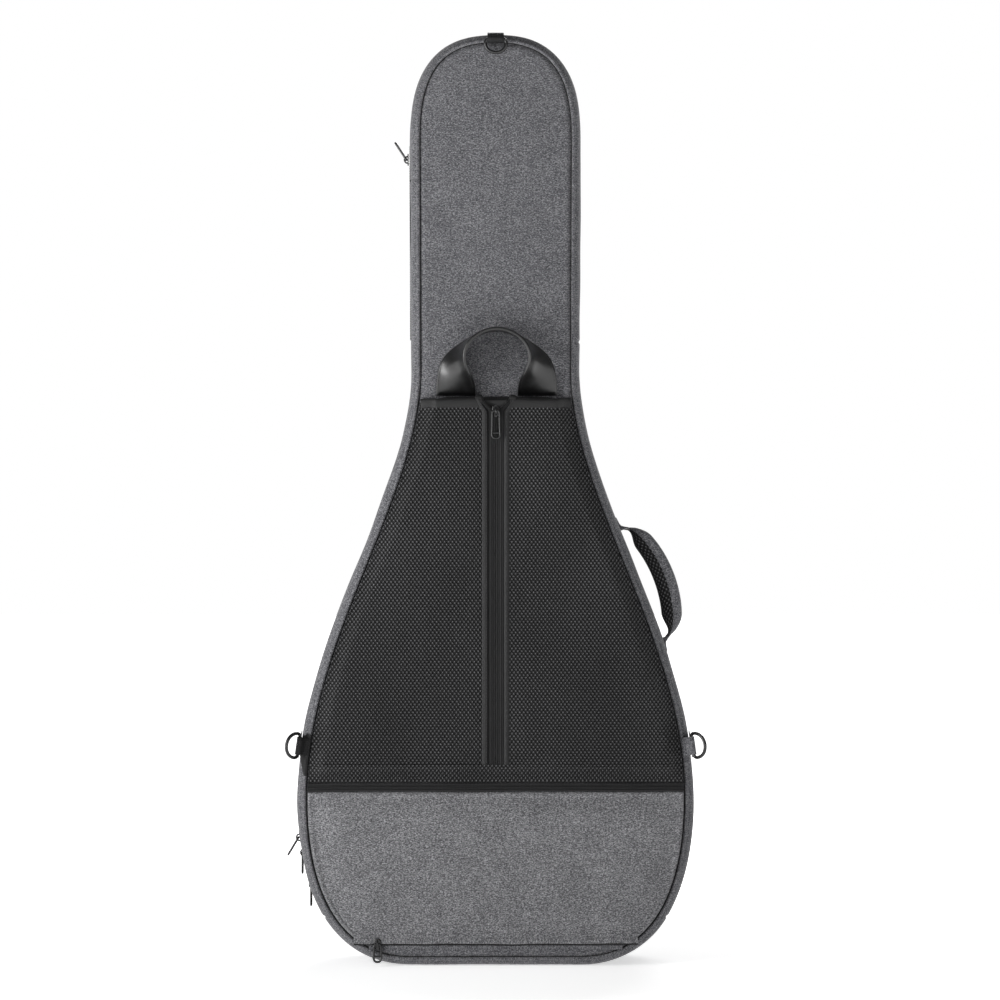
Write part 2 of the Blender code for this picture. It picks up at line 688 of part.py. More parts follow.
TOP_BAR = Vector((0.0, BACK_Y - 0.0065, BAG_HEIGHT - 0.0075))
d_ring("top_ring", TOP_BAR, Vector((1, 0, 0)), Vector((0, 0, -1)), TOP_RING_HALF, TOP_RING_DEPTH)
top_path = [Vector((0, BACK_Y + 0.034, BAG_HEIGHT + 0.0010)),
            Vector((0, BACK_Y + 0.018, BAG_HEIGHT + 0.0010)),
            Vector((0, BACK_Y + 0.008, BAG_HEIGHT + 0.0002)),
            Vector((0, BACK_Y - 0.0005, BAG_HEIGHT - 0.0018))]
for degrees in (70, 100, 140, 180, 220, 260):
    angle = math.radians(degrees)
    reach = RING_ROD + 0.0004 + TAB_THICK / 2
    top_path.append(TOP_BAR + Vector((0, reach * math.cos(angle), reach * math.sin(angle))))
top_path.append(Vector((0, BACK_Y - 0.0012, TOP_BAR.z - 0.0035)))
ribbon("top_ring_tab", top_path, Vector((1, 0, 0)), 0.0095, TAB_THICK, colour=BLACK)


# ---------------------------------------------------------------- padded side handle
upper_end = side_point(HANDLE_UPPER_Z, 1)[0]
lower_end = side_point(HANDLE_LOWER_Z, 1)[0]
HANDLE_MID = (upper_end + lower_end) / 2
HANDLE_ALONG = (lower_end - upper_end).normalized()
HANDLE_OUT = Vector((-HANDLE_ALONG.z, 0.0, HANDLE_ALONG.x))
HANDLE_HALF = (lower_end - upper_end).length / 2
SIDEWAYS = Vector((0, 1, 0))


def handle_point(s, n, w):
    return HANDLE_MID + HANDLE_ALONG * s + HANDLE_OUT * n + SIDEWAYS * (HANDLE_Y + w)


def surface_rise(s):
    """How far the gusset stands out from the line between the handle's ends."""
    rises = []
    for i in range(1, CROWN):
        x, z = edge(i)
        nx, nz = edge(i + 1)
        a = (Vector((x, 0, z)) - HANDLE_MID).dot(HANDLE_ALONG)
        b = (Vector((nx, 0, nz)) - HANDLE_MID).dot(HANDLE_ALONG)
        if (a - s) * (b - s) <= 0 and abs(a - b) > 1e-9:
            na = (Vector((x, 0, z)) - HANDLE_MID).dot(HANDLE_OUT)
            nb = (Vector((nx, 0, nz)) - HANDLE_MID).dot(HANDLE_OUT)
            rises.append(na + (nb - na) * (s - a) / (b - a))
    return max(rises)


handle_origin = handle_point(0.0, HANDLE_AXIS_OUT, 0.0)
pad_sections = []
cover_sections = []
HANDLE_END = HANDLE_HALF - 0.006
for k in range(13):
    s = -HANDLE_END + 2 * HANDLE_END * k / 12
    share = math.cos(math.pi / 2 * s / HANDLE_END)
    swell = smooth(share * 1.7)
    seam = HANDLE_AXIS_OUT + (HANDLE_REACH - HANDLE_AXIS_OUT) * share ** HANDLE_FULLNESS
    wide = 0.009 + (HANDLE_HALF_WIDTH - 0.009) * swell
    inner = 0.0024 + (HANDLE_PAD_THICK - 0.0024) * swell
    outer = 0.0030 + (HANDLE_COVER_THICK - 0.0030) * swell
    low = seam - GAP / 2
    high = seam + GAP / 2
    pad_sections.append([handle_point(s, n, w) for w, n in (
        (-wide, low), (wide, low), (wide * 0.9, low - 0.6 * inner), (wide * 0.42, low - inner),
        (-wide * 0.42, low - inner), (-wide * 0.9, low - 0.6 * inner))])
    cover_sections.append([handle_point(s, n, w) for w, n in (
        (-wide, high), (wide, high), (wide * 0.97, high + 0.6 * outer),
        (wide * 0.75, high + outer), (-wide * 0.75, high + outer), (-wide * 0.97, high + 0.6 * outer))])
sweep("handle_pad", pad_sections, colour=BLACK, origin=handle_origin)
sweep("handle_cover", cover_sections, origin=handle_origin)

for word, way in (("upper", -1), ("lower", 1)):
    sections = []
    for step, wide, top in ((0.0005, 0.010, 0.0125), (0.006, 0.012, 0.0045), (0.012, 0.0115, 0.0032),
                            (0.017, 0.009, 0.0028)):
        s = way * (HANDLE_END + step)
        base = surface_rise(s) + 0.0006
        high = max(base + 0.0022, top) if step < 0.002 else base + top - 0.0010
        sections.append([handle_point(s, base, -wide), handle_point(s, base, wide),
                         handle_point(s, high, wide * 0.9), handle_point(s, high, -wide * 0.9)])
    sweep("handle_anchor_" + word, sections)


# ---------------------------------------------------------------- sliders and pullers
def frame_matrix(origin, across, along, out):
    matrix = Matrix((across, along, out)).transposed().to_4x4()
    matrix.translation = origin
    return matrix


def slider(name, origin, across, along, out):
    """Zip slider: a plate over the coils, with a bridge that holds the puller."""
    us = (-SLIDER_HALF_WIDTH, -BRIDGE_HALF_WIDTH, BRIDGE_HALF_WIDTH, SLIDER_HALF_WIDTH)
    vs = (-SLIDER_HALF_LENGTH, -0.0034, -0.0019, 0.0019, 0.0034, SLIDER_HALF_LENGTH)
    ws = (0.0, SLIDER_PLATE, SLIDER_PLATE + BRIDGE_RISE, SLIDER_PLATE + BRIDGE_RISE + BRIDGE_THICK)
    filled = {(i, j, 0) for i in range(3) for j in range(5)}
    filled |= {(1, 1, 1), (1, 3, 1), (1, 1, 2), (1, 2, 2), (1, 3, 2)}
    return cells(name, us, vs, ws, filled, place=frame_matrix(origin, across, along, out),
                 colour=METAL, rough=0.3, metal=0.6, origin=origin)


def puller(name, slider_origin, across, out, hang, length):
    """Slotted loop through the slider's bridge; hang is the way it points."""
    pivot = slider_origin + out * (SLIDER_PLATE + BRIDGE_RISE / 2)
    normal = across.cross(hang)
    half = PULL_HALF_WIDTH
    path = [(0.0, -half * 0.8, -1, 0), (0.0, half * 0.8, -1, 0), (0.0015, half, -0.5, 0.86),
            (length * 0.3, half, 0, 1), (length - 0.006, half * 1.15, 0, 1),
            (length - 0.002, half * 0.8, 0.7, 0.7), (length, half * 0.3, 1, 0),
            (length, -half * 0.3, 1, 0), (length - 0.002, -half * 0.8, 0.7, -0.7),
            (length - 0.006, -half * 1.15, 0, -1), (length * 0.3, -half, 0, -1),
            (0.0015, -half, -0.5, -0.86)]
    sections = []
    rod = PULL_ROD / 2
    for down, wide, dd, dw in path:
        centre = pivot + hang * down + across * wide
        outward = (hang * dd + across * dw).normalized()
        sections.append([centre - outward * rod - normal * rod, centre + outward * rod - normal * rod,
                         centre + outward * rod + normal * rod, centre - outward * rod + normal * rod])
    return sweep(name, sections, closed=True, colour=METAL, rough=0.25, origin=pivot)


X_AXIS = Vector((1, 0, 0))
Y_AXIS = Vector((0, 1, 0))
Z_AXIS = Vector((0, 0, 1))

# centre zip of the strap pocket: across X, along Z, outwards -Y
spot = Vector((0.0, FOLD_AXIS_Y - COIL_HEIGHT - GAP, MESH_TOP_Z - 0.015))
slider("pocket_slider", spot, X_AXIS, Z_AXIS, -Y_AXIS)
puller("pocket_puller", spot, X_AXIS, -Y_AXIS, -Z_AXIS, LONG_PULL)

# lower pocket: across Z, along X, outwards -Y; the puller hangs down
spot = Vector((-LOWER_ZIP_HALF_LENGTH + 0.010, LOWER_ZIP_FACE - GAP, LOWER_ZIP_Z))
slider("lower_slider", spot, X_AXIS, Z_AXIS, -Y_AXIS)
puller("lower_puller", spot, X_AXIS, -Y_AXIS, -Z_AXIS, 0.0205)

# main zip, parked at the lower left
for word, height in (("upper", 0.126), ("lower", 0.088)):
    foot, out, up = side_point(height, -1, -0.0008 + 0.0005)
    spot = foot + Vector((0, SPLIT_Y, 0))
    slider("main_slider_" + word, spot, Y_AXIS, up, out)
    puller("main_puller_" + word, spot, Y_AXIS, out, -Z_AXIS, SHORT_PULL)


def gusset_zip(name, low_z, high_z, y, steps):
    """A pocket zip sewn on the left side of the lid's gusset."""
    outline = [(y - 0.006, GAP), (y + 0.006, GAP), (y + 0.006, GAP + TAPE_THICK),
               (y + 0.0015, GAP + TAPE_THICK), (y + 0.0015, GAP + TAPE_THICK + 0.0008),
               (y - 0.0015, GAP + TAPE_THICK + 0.0008), (y - 0.0015, GAP + TAPE_THICK),
               (y - 0.006, GAP + TAPE_THICK)]
    sections = []
    for k in range(steps + 1):
        z = low_z + (high_z - low_z) * k / steps
        foot, out, up = side_point(z, -1)
        sections.append([foot + out * (off + 0.0003) + Vector((0, py, 0)) for py, off in outline])
    return sweep(name, sections, colour=BLACK)


NECK_ZIP_Y = 0.0265
FRONT_ZIP_Y = 0.0400
gusset_zip("neck_pocket_zip", 0.735, 0.966, NECK_ZIP_Y, 3)
gusset_zip("front_pocket_zip", 0.128, 0.430, FRONT_ZIP_Y, 14)
foot, out, up = side_point(0.950, -1, 0.0029 + GAP)
spot = foot + Vector((0, NECK_ZIP_Y, 0))
slider("neck_slider", spot, Y_AXIS, up, out)
puller("neck_puller", spot, Y_AXIS, out, (up * 0.84 + out * 0.54).normalized(), SHORT_PULL)
foot, out, up = side_point(0.142, -1, 0.0029 + GAP)
spot = foot + Vector((0, FRONT_ZIP_Y, 0))
slider("front_slider", spot, Y_AXIS, up, out)
puller("front_puller", spot, Y_AXIS, out, (-up * 0.78 + out * 0.62).normalized(), SHORT_PULL)


# ---------------------------------------------------------------- lid pockets and neck rest
domed("front_pocket", ramped_heights(FRONT_POCKET_LOW_Z, FRONT_POCKET_HIGH_Z, 0.024, 5),
      lambda z: half_width(z, -FRONT_POCKET_INSET), FRONT_POCKET_LIFT, 0.024, 0.024,
      front_y, 1.0, POCKET_THICK)
domed("neck_pocket", ramped_heights(NECK_POCKET_LOW_Z, NECK_POCKET_HIGH_Z, 0.018, 3),
      lambda z: NECK_POCKET_HALF, NECK_POCKET_LIFT, 0.018, 0.018,
      front_y, 1.0, POCKET_THICK)

CRADLE_HALF = NECK_HALF_WIDTH - SEAM_INSET - 2 * GAP
cells("neck_cradle", (-CRADLE_HALF, -0.034, 0.034, CRADLE_HALF),
      (BACK_Y + PANEL_THICK + GAP, BACK_Y + 0.034, BACK_Y + 0.062), (0.700, 0.770),
      {(0, 0, 0), (1, 0, 0), (2, 0, 0), (0, 1, 0), (2, 1, 0)}, colour=BLACK)

# the lid's pieces hang on one empty that lies on its hinge
lid_axis = bpy.data.objects.new("lid_axis", None)
lid_axis.location = (HINGE_X, SPLIT_Y, LOWER_WIDEST_Z)
bpy.context.collection.objects.link(lid_axis)
lid_pieces = [obj for obj in bpy.data.objects
              if obj.name.startswith(("lid_", "front_")) or obj.name in (
                  "main_zip_lid", "neck_pocket", "neck_pocket_zip")]
for obj in lid_pieces:
    if obj.type == "MESH" and obj.name != "front_puller":
        obj.parent = lid_axis
        obj.location = obj.location - lid_axis.location
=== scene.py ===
import math

import bpy
import numpy as np
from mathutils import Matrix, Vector


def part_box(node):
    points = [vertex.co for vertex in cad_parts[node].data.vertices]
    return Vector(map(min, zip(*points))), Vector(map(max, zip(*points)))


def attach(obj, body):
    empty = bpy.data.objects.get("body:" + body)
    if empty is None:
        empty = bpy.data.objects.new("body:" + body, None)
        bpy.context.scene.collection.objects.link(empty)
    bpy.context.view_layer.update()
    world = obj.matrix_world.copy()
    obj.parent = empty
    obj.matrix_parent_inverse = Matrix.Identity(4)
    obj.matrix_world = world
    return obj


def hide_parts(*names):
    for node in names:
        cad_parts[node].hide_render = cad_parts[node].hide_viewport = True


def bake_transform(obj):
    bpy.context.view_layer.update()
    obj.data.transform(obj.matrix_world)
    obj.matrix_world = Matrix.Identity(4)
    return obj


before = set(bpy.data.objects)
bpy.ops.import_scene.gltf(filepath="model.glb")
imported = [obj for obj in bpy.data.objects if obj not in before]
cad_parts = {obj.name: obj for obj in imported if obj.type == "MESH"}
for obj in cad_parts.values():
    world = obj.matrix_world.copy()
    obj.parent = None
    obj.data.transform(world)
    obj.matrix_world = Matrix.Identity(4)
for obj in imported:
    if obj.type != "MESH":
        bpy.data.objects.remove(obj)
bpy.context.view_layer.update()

# ---------------------------------------------------------------- sizes shared with the CAD
GAP = 0.0003
BACK_Y = -0.070
SPLIT_Y = 0.010
ZIP_HALF = 0.008
PANEL_THICK = 0.012
SEAM_INSET = 0.0105
BAG_HEIGHT = 1.090
MESH_EDGE_INSET = 0.0125
MESH_RAMP = 0.020
MESH_LIFT = 0.0157
MESH_THICK = 0.0035
MESH_BOTTOM_Z = 0.2150
MESH_TOP_Z = 0.663
FOLD_BOTTOM = (0.0145, 0.2365)
FOLD_TOP = (0.063285, 0.663)
MESH_FACE_Y = BACK_Y - GAP - MESH_LIFT - MESH_THICK


def smooth(t):
    t = np.clip(t, 0.0, 1.0)
    return t * t * (3.0 - 2.0 * t)


def xyz(x, y, z):
    """Points from three coordinates, each an array or one value for all."""
    return np.stack(np.broadcast_arrays(x, y, z), axis=-1)


def unit(vectors):
    return vectors / np.linalg.norm(vectors, axis=-1, keepdims=True)


def bent(value, power):
    """A power of a value's size that keeps its sign, for squarish sections."""
    return math.copysign(abs(value) ** power, value)


WAVES = 9


def ripple(u, v, seed, size):
    """Smooth waves of about the given size, between -1 and 1."""
    rng = np.random.RandomState(seed)
    total = 0.0 * (np.asarray(u) + np.asarray(v))
    for _ in range(WAVES):
        angle, phase = rng.uniform(0.0, 2.0 * np.pi, 2)
        wave = 2.0 * np.pi / size * rng.uniform(0.5, 1.3)
        total = total + np.sin(wave * (u * np.cos(angle) + v * np.sin(angle)) + phase)
    return total / (1.3 * math.sqrt(WAVES))


# ---------------------------------------------------------------- outline
def bezier(p0, p1, p2, p3, count):
    t = np.linspace(0.0, 1.0, count + 1)[1:, None]
    p0, p1, p2, p3 = (np.array(p) for p in (p0, p1, p2, p3))
    s = 1.0 - t
    return s ** 3 * p0 + 3 * s * s * t * p1 + 3 * s * t * t * p2 + t ** 3 * p3


def line(a, b, count):
    return np.linspace(a, b, count + 1)[1:]


def make_half():
    parts = [np.array([[0.0, 0.0]]), line((0, 0), (0.100, 0), 20),
             bezier((0.100, 0), (0.193, 0), (0.232, 0.085), (0.232, 0.195), 70),
             bezier((0.232, 0.195), (0.232, 0.385), (0.0985, 0.548), (0.0985, 0.6955), 110)]
    knots = [(0.0985, 0.6955), (0.0987, 0.770), (0.0990, 0.845), (0.0993, 0.920), (0.0995, 0.970)]
    parts += [line(a, b, 14) for a, b in zip(knots, knots[1:])]
    parts.append(bezier((0.0995, 0.970), (0.0995, 1.055), (0.065, 1.090), (0, 1.090), 70))
    return np.vstack(parts)


BACKWARD = np.array((0.0, -1.0, 0.0))
HALF = make_half()
LOOP = np.vstack([HALF, HALF[-2:0:-1] * (-1.0, 1.0)])
NEXT = np.roll(LOOP, -1, axis=0)
STEPS = np.linalg.norm(NEXT - LOOP, axis=1)
ARC = np.concatenate([[0.0], np.cumsum(STEPS)])
LENGTH = ARC[-1]
TANGENT = unit(np.roll(LOOP, -1, axis=0) - np.roll(LOOP, 1, axis=0))
NORMAL = np.stack([TANGENT[:, 1], -TANGENT[:, 0]], axis=1)
HALF_ARC = ARC[:len(HALF)]
BASE = 20                      # index of the base's corner on the half outline


def along(s):
    """Outline points and outward normals at distances along the loop."""
    s = np.mod(s, LENGTH)
    ring = np.vstack([LOOP, LOOP[:1]])
    turn = np.vstack([NORMAL, NORMAL[:1]])
    point = np.stack([np.interp(s, ARC, ring[:, k]) for k in (0, 1)], axis=-1)
    normal = np.stack([np.interp(s, ARC, turn[:, k]) for k in (0, 1)], axis=-1)
    return point, unit(normal)


def outline_point(s, off, y):
    """Points at places along the outline, moved outwards, at a depth y."""
    point, normal = along(s)
    return xyz(point[:, 0] + normal[:, 0] * off, y, point[:, 1] + normal[:, 1] * off)


def outward_at(s):
    normal = along(s)[1]
    return xyz(normal[:, 0], 0.0, normal[:, 1])


def arc_at(z, side):
    """Distance along the loop of the outline point at a height on one side."""
    s = float(np.interp(z, HALF[BASE:, 1], HALF_ARC[BASE:]))
    return s if side > 0 else LENGTH - s


def half_at(z, off=0.0):
    points = HALF[BASE:] + NORMAL[BASE:len(HALF)] * off
    return np.interp(z, points[:, 1], points[:, 0])


def from_edge(x, z, inset):
    """Distance from the outline moved inwards by inset, and the place along it."""
    ring = LOOP - NORMAL * inset
    flat_x, flat_z = np.ravel(x), np.ravel(z)
    best = np.full(flat_x.shape, 9.0)
    where = np.zeros(flat_x.shape)
    for start in range(0, len(ring), 60):
        piece = ring[start:start + 60]
        d = np.hypot(flat_x[:, None] - piece[None, :, 0], flat_z[:, None] - piece[None, :, 1])
        near = d.argmin(axis=1)
        value = d[np.arange(len(flat_x)), near]
        better = value < best
        best[better] = value[better]
        where[better] = ARC[start:start + 60][near[better]]
    return best.reshape(np.shape(x)), where.reshape(np.shape(x))


def back_y(z):
    return BACK_Y + 0.0 * z


def front_y(z):
    return 0.080 - 0.035 * np.clip((z - 0.520) / 0.570, 0.0, 1.0)


# ---------------------------------------------------------------- materials
def make_material(name, rough, metallic=0.0, sheen=0.0, coat=0.0, specular=0.5):
    mat = bpy.data.materials.new(name)
    mat.use_nodes = True
    tree = mat.node_tree
    shader = tree.nodes["Principled BSDF"]
    shader.inputs["Roughness"].default_value = rough
    shader.inputs["Metallic"].default_value = metallic
    shader.inputs["Sheen Weight"].default_value = sheen
    shader.inputs["Sheen Roughness"].default_value = 0.45
    shader.inputs["Coat Weight"].default_value = coat
    shader.inputs["Coat Roughness"].default_value = 0.18
    shader.inputs["Specular IOR Level"].default_value = specular
    return mat, tree, shader


def node(tree, kind, inputs=(), **settings):
    made = tree.nodes.new(kind)
    for key, value in settings.items():
        setattr(made, key, value)
    for key, value in dict(inputs).items():
        if isinstance(value, bpy.types.NodeSocket):
            tree.links.new(value, made.inputs[key])
        else:
            made.inputs[key].default_value = value
    return made


def calc(tree, operation, a, b=0.0):
    return node(tree, "ShaderNodeMath", {0: a, 1: b}, operation=operation).outputs[0]


def ramp(tree, factor, stops):
    made = node(tree, "ShaderNodeValToRGB", {"Fac": factor})
    band = made.color_ramp
    while len(band.elements) < len(stops):
        band.elements.new(0.5)
    for element, (place, colour) in zip(band.elements, stops):
        element.position = place
        element.color = (*colour, 1.0) if len(colour) == 3 else (colour[0],) * 3 + (1.0,)
    return made.outputs["Color"]


def noise(tree, vector, scale, detail=2.0, rough=0.5):
    return node(tree, "ShaderNodeTexNoise", {"Vector": vector, "Scale": scale, "Detail": detail,
                                             "Roughness": rough}).outputs[0]


def stretched(tree, vector, factors):
    return node(tree, "ShaderNodeVectorMath", {0: vector, 1: factors},
                operation="MULTIPLY").outputs[0]


def wave(tree, value, pitch, shift=0.0):
    turned = calc(tree, "MULTIPLY", value, 2.0 * math.pi / pitch)
    return calc(tree, "SINE", calc(tree, "ADD", turned, shift))


def add_bump(tree, shader, height, strength, distance):
    bump = node(tree, "ShaderNodeBump", {"Height": height, "Strength": strength,
                                         "Distance": distance})
    tree.links.new(bump.outputs[0], shader.inputs["Normal"])


def fabric_axes(tree):
    uv = node(tree, "ShaderNodeTexCoord").outputs["UV"]
    split = node(tree, "ShaderNodeSeparateXYZ", {0: uv})
    return uv, split.outputs[0], split.outputs[1]


THREAD_PITCH = 0.0009


def melange(name, dark, mid, light):
    """Heathered woven polyester: pale and dark threads in short horizontal flecks."""
    mat, tree, shader = make_material(name, 0.88, sheen=0.22, specular=0.25)
    uv, u, v = fabric_axes(tree)
    fleck = noise(tree, stretched(tree, uv, (520.0, 980.0, 1.0)), 1.0, 2.0, 0.65)
    cells = node(tree, "ShaderNodeTexVoronoi",
                 {"Vector": stretched(tree, uv, (620.0, 1150.0, 1.0)), "Scale": 1.0})
    cell = node(tree, "ShaderNodeSeparateColor", {0: cells.outputs["Color"]}).outputs[0]
    cloud = noise(tree, stretched(tree, uv, (28.0, 36.0, 1.0)), 1.0, 2.0, 0.5)
    mixed = calc(tree, "ADD", calc(tree, "MULTIPLY", fleck, 0.72),
                 calc(tree, "MULTIPLY", cell, 0.20))
    mixed = calc(tree, "ADD", mixed, calc(tree, "MULTIPLY", cloud, 0.08))
    colour = ramp(tree, mixed, [(0.34, dark), (0.50, mid), (0.68, light)])
    tree.links.new(colour, shader.inputs["Base Color"])
    weave = calc(tree, "MULTIPLY", wave(tree, u, THREAD_PITCH),
                 wave(tree, v, THREAD_PITCH * 0.75))
    height = calc(tree, "ADD", calc(tree, "MULTIPLY", weave, 0.35), fleck)
    add_bump(tree, shader, height, 0.45, 0.0005)
    return mat


def air_mesh(name):
    """Black spacer mesh: raised knuckles in diagonal rows with holes between them; the lighter knuckle
    tops are painted highlight and the near-black holes painted shade.
    """
    mat, tree, shader = make_material(name, 0.55, sheen=0.02, specular=0.26)
    uv, u, v = fabric_axes(tree)
    wobble = calc(tree, "MULTIPLY", noise(tree, stretched(tree, uv, (60.0, 60.0, 1.0)), 1.0), 0.0016)
    across = calc(tree, "ADD", u, wobble)
    slope = calc(tree, "ADD", calc(tree, "MULTIPLY", across, 1.0 / 0.0046),
                 calc(tree, "MULTIPLY", v, 1.0 / 0.0062))
    other = calc(tree, "SUBTRACT", calc(tree, "MULTIPLY", across, 1.0 / 0.0046),
                 calc(tree, "MULTIPLY", v, 1.0 / 0.0062))
    first = wave(tree, slope, 1.0)
    second = wave(tree, other, 1.0)
    both = calc(tree, "ADD", calc(tree, "MULTIPLY", calc(tree, "ADD", first, second), 0.25), 0.5)
    fibre = noise(tree, stretched(tree, uv, (1700.0, 900.0, 1.0)), 1.0, 2.0, 0.6)
    value = calc(tree, "ADD", both, calc(tree, "MULTIPLY", calc(tree, "SUBTRACT", fibre, 0.5), 0.35))
    cloud = noise(tree, stretched(tree, uv, (9.0, 5.0, 1.0)), 1.0, 2.0, 0.5)
    value = calc(tree, "ADD", value, calc(tree, "MULTIPLY", calc(tree, "SUBTRACT", cloud, 0.52), 0.40))
    # Colour over the knuckle pattern: near black in the holes as painted shade, grey on the knuckle
    # tops as painted highlight.
    colour = ramp(tree, value, [(0.30, (0.0010, 0.0010, 0.0011)), (0.60, (0.008, 0.008, 0.0083)),
                                (0.92, (0.100, 0.100, 0.104))])
    tree.links.new(colour, shader.inputs["Base Color"])
    add_bump(tree, shader, value, 1.0, 0.0022)
    return mat


def ribbed(name, base, bright, pitch, rough=0.6, along_u=True, specular=0.22):
    """Woven tape or webbing with fine ribs across it."""
    mat, tree, shader = make_material(name, rough, sheen=0.03, specular=specular)
    uv, u, v = fabric_axes(tree)
    rib = wave(tree, u if along_u else v, pitch)
    cross = wave(tree, v if along_u else u, pitch * 1.7)
    grain = noise(tree, stretched(tree, uv, (1500.0, 1500.0, 1.0)), 1.0, 2.0, 0.6)
    value = calc(tree, "ADD", calc(tree, "MULTIPLY", rib, 0.22), calc(tree, "MULTIPLY", cross, 0.10))
    value = calc(tree, "ADD", value, grain)
    colour = ramp(tree, value, [(0.25, base), (0.80, bright)])
    tree.links.new(colour, shader.inputs["Base Color"])
    add_bump(tree, shader, value, 0.5, 0.0004)
    return mat


def grained(name, base, bright, rough, scale, strength, metallic=0.0, coat=0.0, spread=0.12):
    """Leather, plastic or painted metal: an uneven surface and an uneven gloss."""
    mat, tree, shader = make_material(name, rough, metallic=metallic, coat=coat)
    place = node(tree, "ShaderNodeTexCoord").outputs["Object"]
    grain = node(tree, "ShaderNodeTexVoronoi", {"Vector": place, "Scale": scale}).outputs[0]
    cloud = noise(tree, place, scale * 0.12, 3.0, 0.6)
    colour = ramp(tree, cloud, [(0.30, base), (0.70, bright)])
    tree.links.new(colour, shader.inputs["Base Color"])
    gloss = calc(tree, "ADD", calc(tree, "MULTIPLY", cloud, spread * 2.0), rough - spread)
    tree.links.new(gloss, shader.inputs["Roughness"])
    add_bump(tree, shader, grain, strength, 0.0004)
    return mat


def plush(name, base, bright):
    mat, tree, shader = make_material(name, 0.95, sheen=0.6, specular=0.15)
    uv, u, v = fabric_axes(tree)
    pile = noise(tree, stretched(tree, uv, (900.0, 900.0, 1.0)), 1.0, 3.0, 0.7)
    patch = noise(tree, stretched(tree, uv, (35.0, 35.0, 1.0)), 1.0, 2.0, 0.5)
    value = calc(tree, "ADD", calc(tree, "MULTIPLY", pile, 0.6), calc(tree, "MULTIPLY", patch, 0.4))
    colour = ramp(tree, value, [(0.30, base), (0.70, bright)])
    tree.links.new(colour, shader.inputs["Base Color"])
    add_bump(tree, shader, value, 0.7, 0.0012)
    return mat


GREY = melange("melange_grey", (0.031, 0.031, 0.035), (0.093, 0.093, 0.101), (0.262, 0.262, 0.274))
LIGHT = melange("melange_light", (0.036, 0.036, 0.039), (0.128, 0.128, 0.135), (0.360, 0.360, 0.372))
MESH = air_mesh("air_mesh_black")
TAPE = ribbed("zip_tape_black", (0.002, 0.002, 0.0021), (0.015, 0.015, 0.0156), 0.0011)
WEB = ribbed("webbing_black", (0.003, 0.003, 0.003), (0.018, 0.018, 0.019), 0.0016, along_u=False)
BINDING = ribbed("binding_black", (0.003, 0.003, 0.0032), (0.013, 0.013, 0.0135), 0.0006, rough=0.46,
                 specular=0.35)
COIL = grained("coil_black", (0.004, 0.004, 0.0043), (0.012, 0.012, 0.0125), 0.42, 2400.0, 0.1)
# Near-black material for the rods laid in the seam grooves and under the lower hem: painted shade.
PAINTED_SHADE = grained("painted_shade_dark", (0.002, 0.002, 0.0021), (0.006, 0.006, 0.0062), 0.9, 2400.0, 0.3)
LEATHER = grained("leather_black", (0.0020, 0.0020, 0.0021), (0.006, 0.006, 0.0062), 0.33, 1100.0, 0.05,
                  coat=0.2)
METAL = grained("metal_black", (0.004, 0.004, 0.0042), (0.014, 0.014, 0.015), 0.24, 900.0, 0.03,
                metallic=0.4, coat=0.45, spread=0.08)
THREAD = grained("thread_black", (0.016, 0.016, 0.017), (0.040, 0.040, 0.042), 0.6, 3000.0, 0.3)
THREAD_GREY = grained("thread_grey", (0.060, 0.060, 0.064), (0.120, 0.120, 0.126), 0.7, 3000.0, 0.3)
LINING = plush("plush_black", (0.005, 0.005, 0.0055), (0.022, 0.022, 0.023))


# ---------------------------------------------------------------- mesh makers
def add_piece(name, verts, faces, uvs, slots, mats, body, sharp=55.0):
    """A piece from points, quads or other faces, one UV pair a corner, and material slots."""
    verts = np.asarray(verts, float)
    mesh = bpy.data.meshes.new(name)
    mesh.from_pydata(verts.tolist(), [], faces)
    layer = mesh.uv_layers.new(name="metres")
    layer.data.foreach_set("uv", np.asarray(uvs, np.float32).ravel())
    for mat in mats:
        mesh.materials.append(mat)
    mesh.polygons.foreach_set("material_index", np.asarray(slots, np.int32))
    mesh.shade_smooth()
    mesh.set_sharp_from_angle(angle=math.radians(sharp))
    piece = bpy.data.objects.new(name, mesh)
    bpy.context.scene.collection.objects.link(piece)
    if body:
        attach(piece, body)
    return piece


def outward(verts, faces, uvs):
    """Turns every face round if the closed form is inside out."""
    fans = [(face[0], b, c) for face in faces for b, c in zip(face[1:], face[2:])]
    a, b, c = (verts[list(column)] for column in zip(*fans))
    if (a * np.cross(b, c)).sum() >= 0.0:
        return faces, uvs
    turned, place, corners = [], 0, []
    for face in faces:
        turned.append(face[::-1])
        corners += list(uvs[place:place + len(face)][::-1])
        place += len(face)
    return turned, corners


def slab_parts(outer, inner, uv, outer_slots=None, inner_slot=0):
    """Faces of a closed form between two grids of points."""
    rows, cols = outer.shape[:2]
    shift = rows * cols
    verts = np.vstack([outer.reshape(-1, 3), inner.reshape(-1, 3)])
    flat_uv = uv.reshape(-1, 2)
    faces, corners, slots = [], [], []
    for r in range(rows - 1):
        for c in range(cols - 1):
            a = r * cols + c
            quad = [a, a + 1, a + 1 + cols, a + cols]
            faces.append(quad)
            corners += [flat_uv[k] for k in quad]
            slots.append(0 if outer_slots is None else int(outer_slots[r, c]))
            faces.append([k + shift for k in quad[::-1]])
            corners += [flat_uv[k] for k in quad[::-1]]
            slots.append(inner_slot)
    rim = list(range(cols)) + [r * cols + cols - 1 for r in range(1, rows)]
    rim += [(rows - 1) * cols + c for c in range(cols - 2, -1, -1)]
    rim += [r * cols for r in range(rows - 2, 0, -1)]
    for k, a in enumerate(rim):
        b = rim[(k + 1) % len(rim)]
        faces.append([b, a, a + shift, b + shift])
        deep = np.array([0.0017, 0.0011])
        corners += [flat_uv[b], flat_uv[a], flat_uv[a] + deep, flat_uv[b] + deep]
        slots.append(0)
    faces, corners = outward(verts, faces, corners)
    return verts, faces, corners, slots


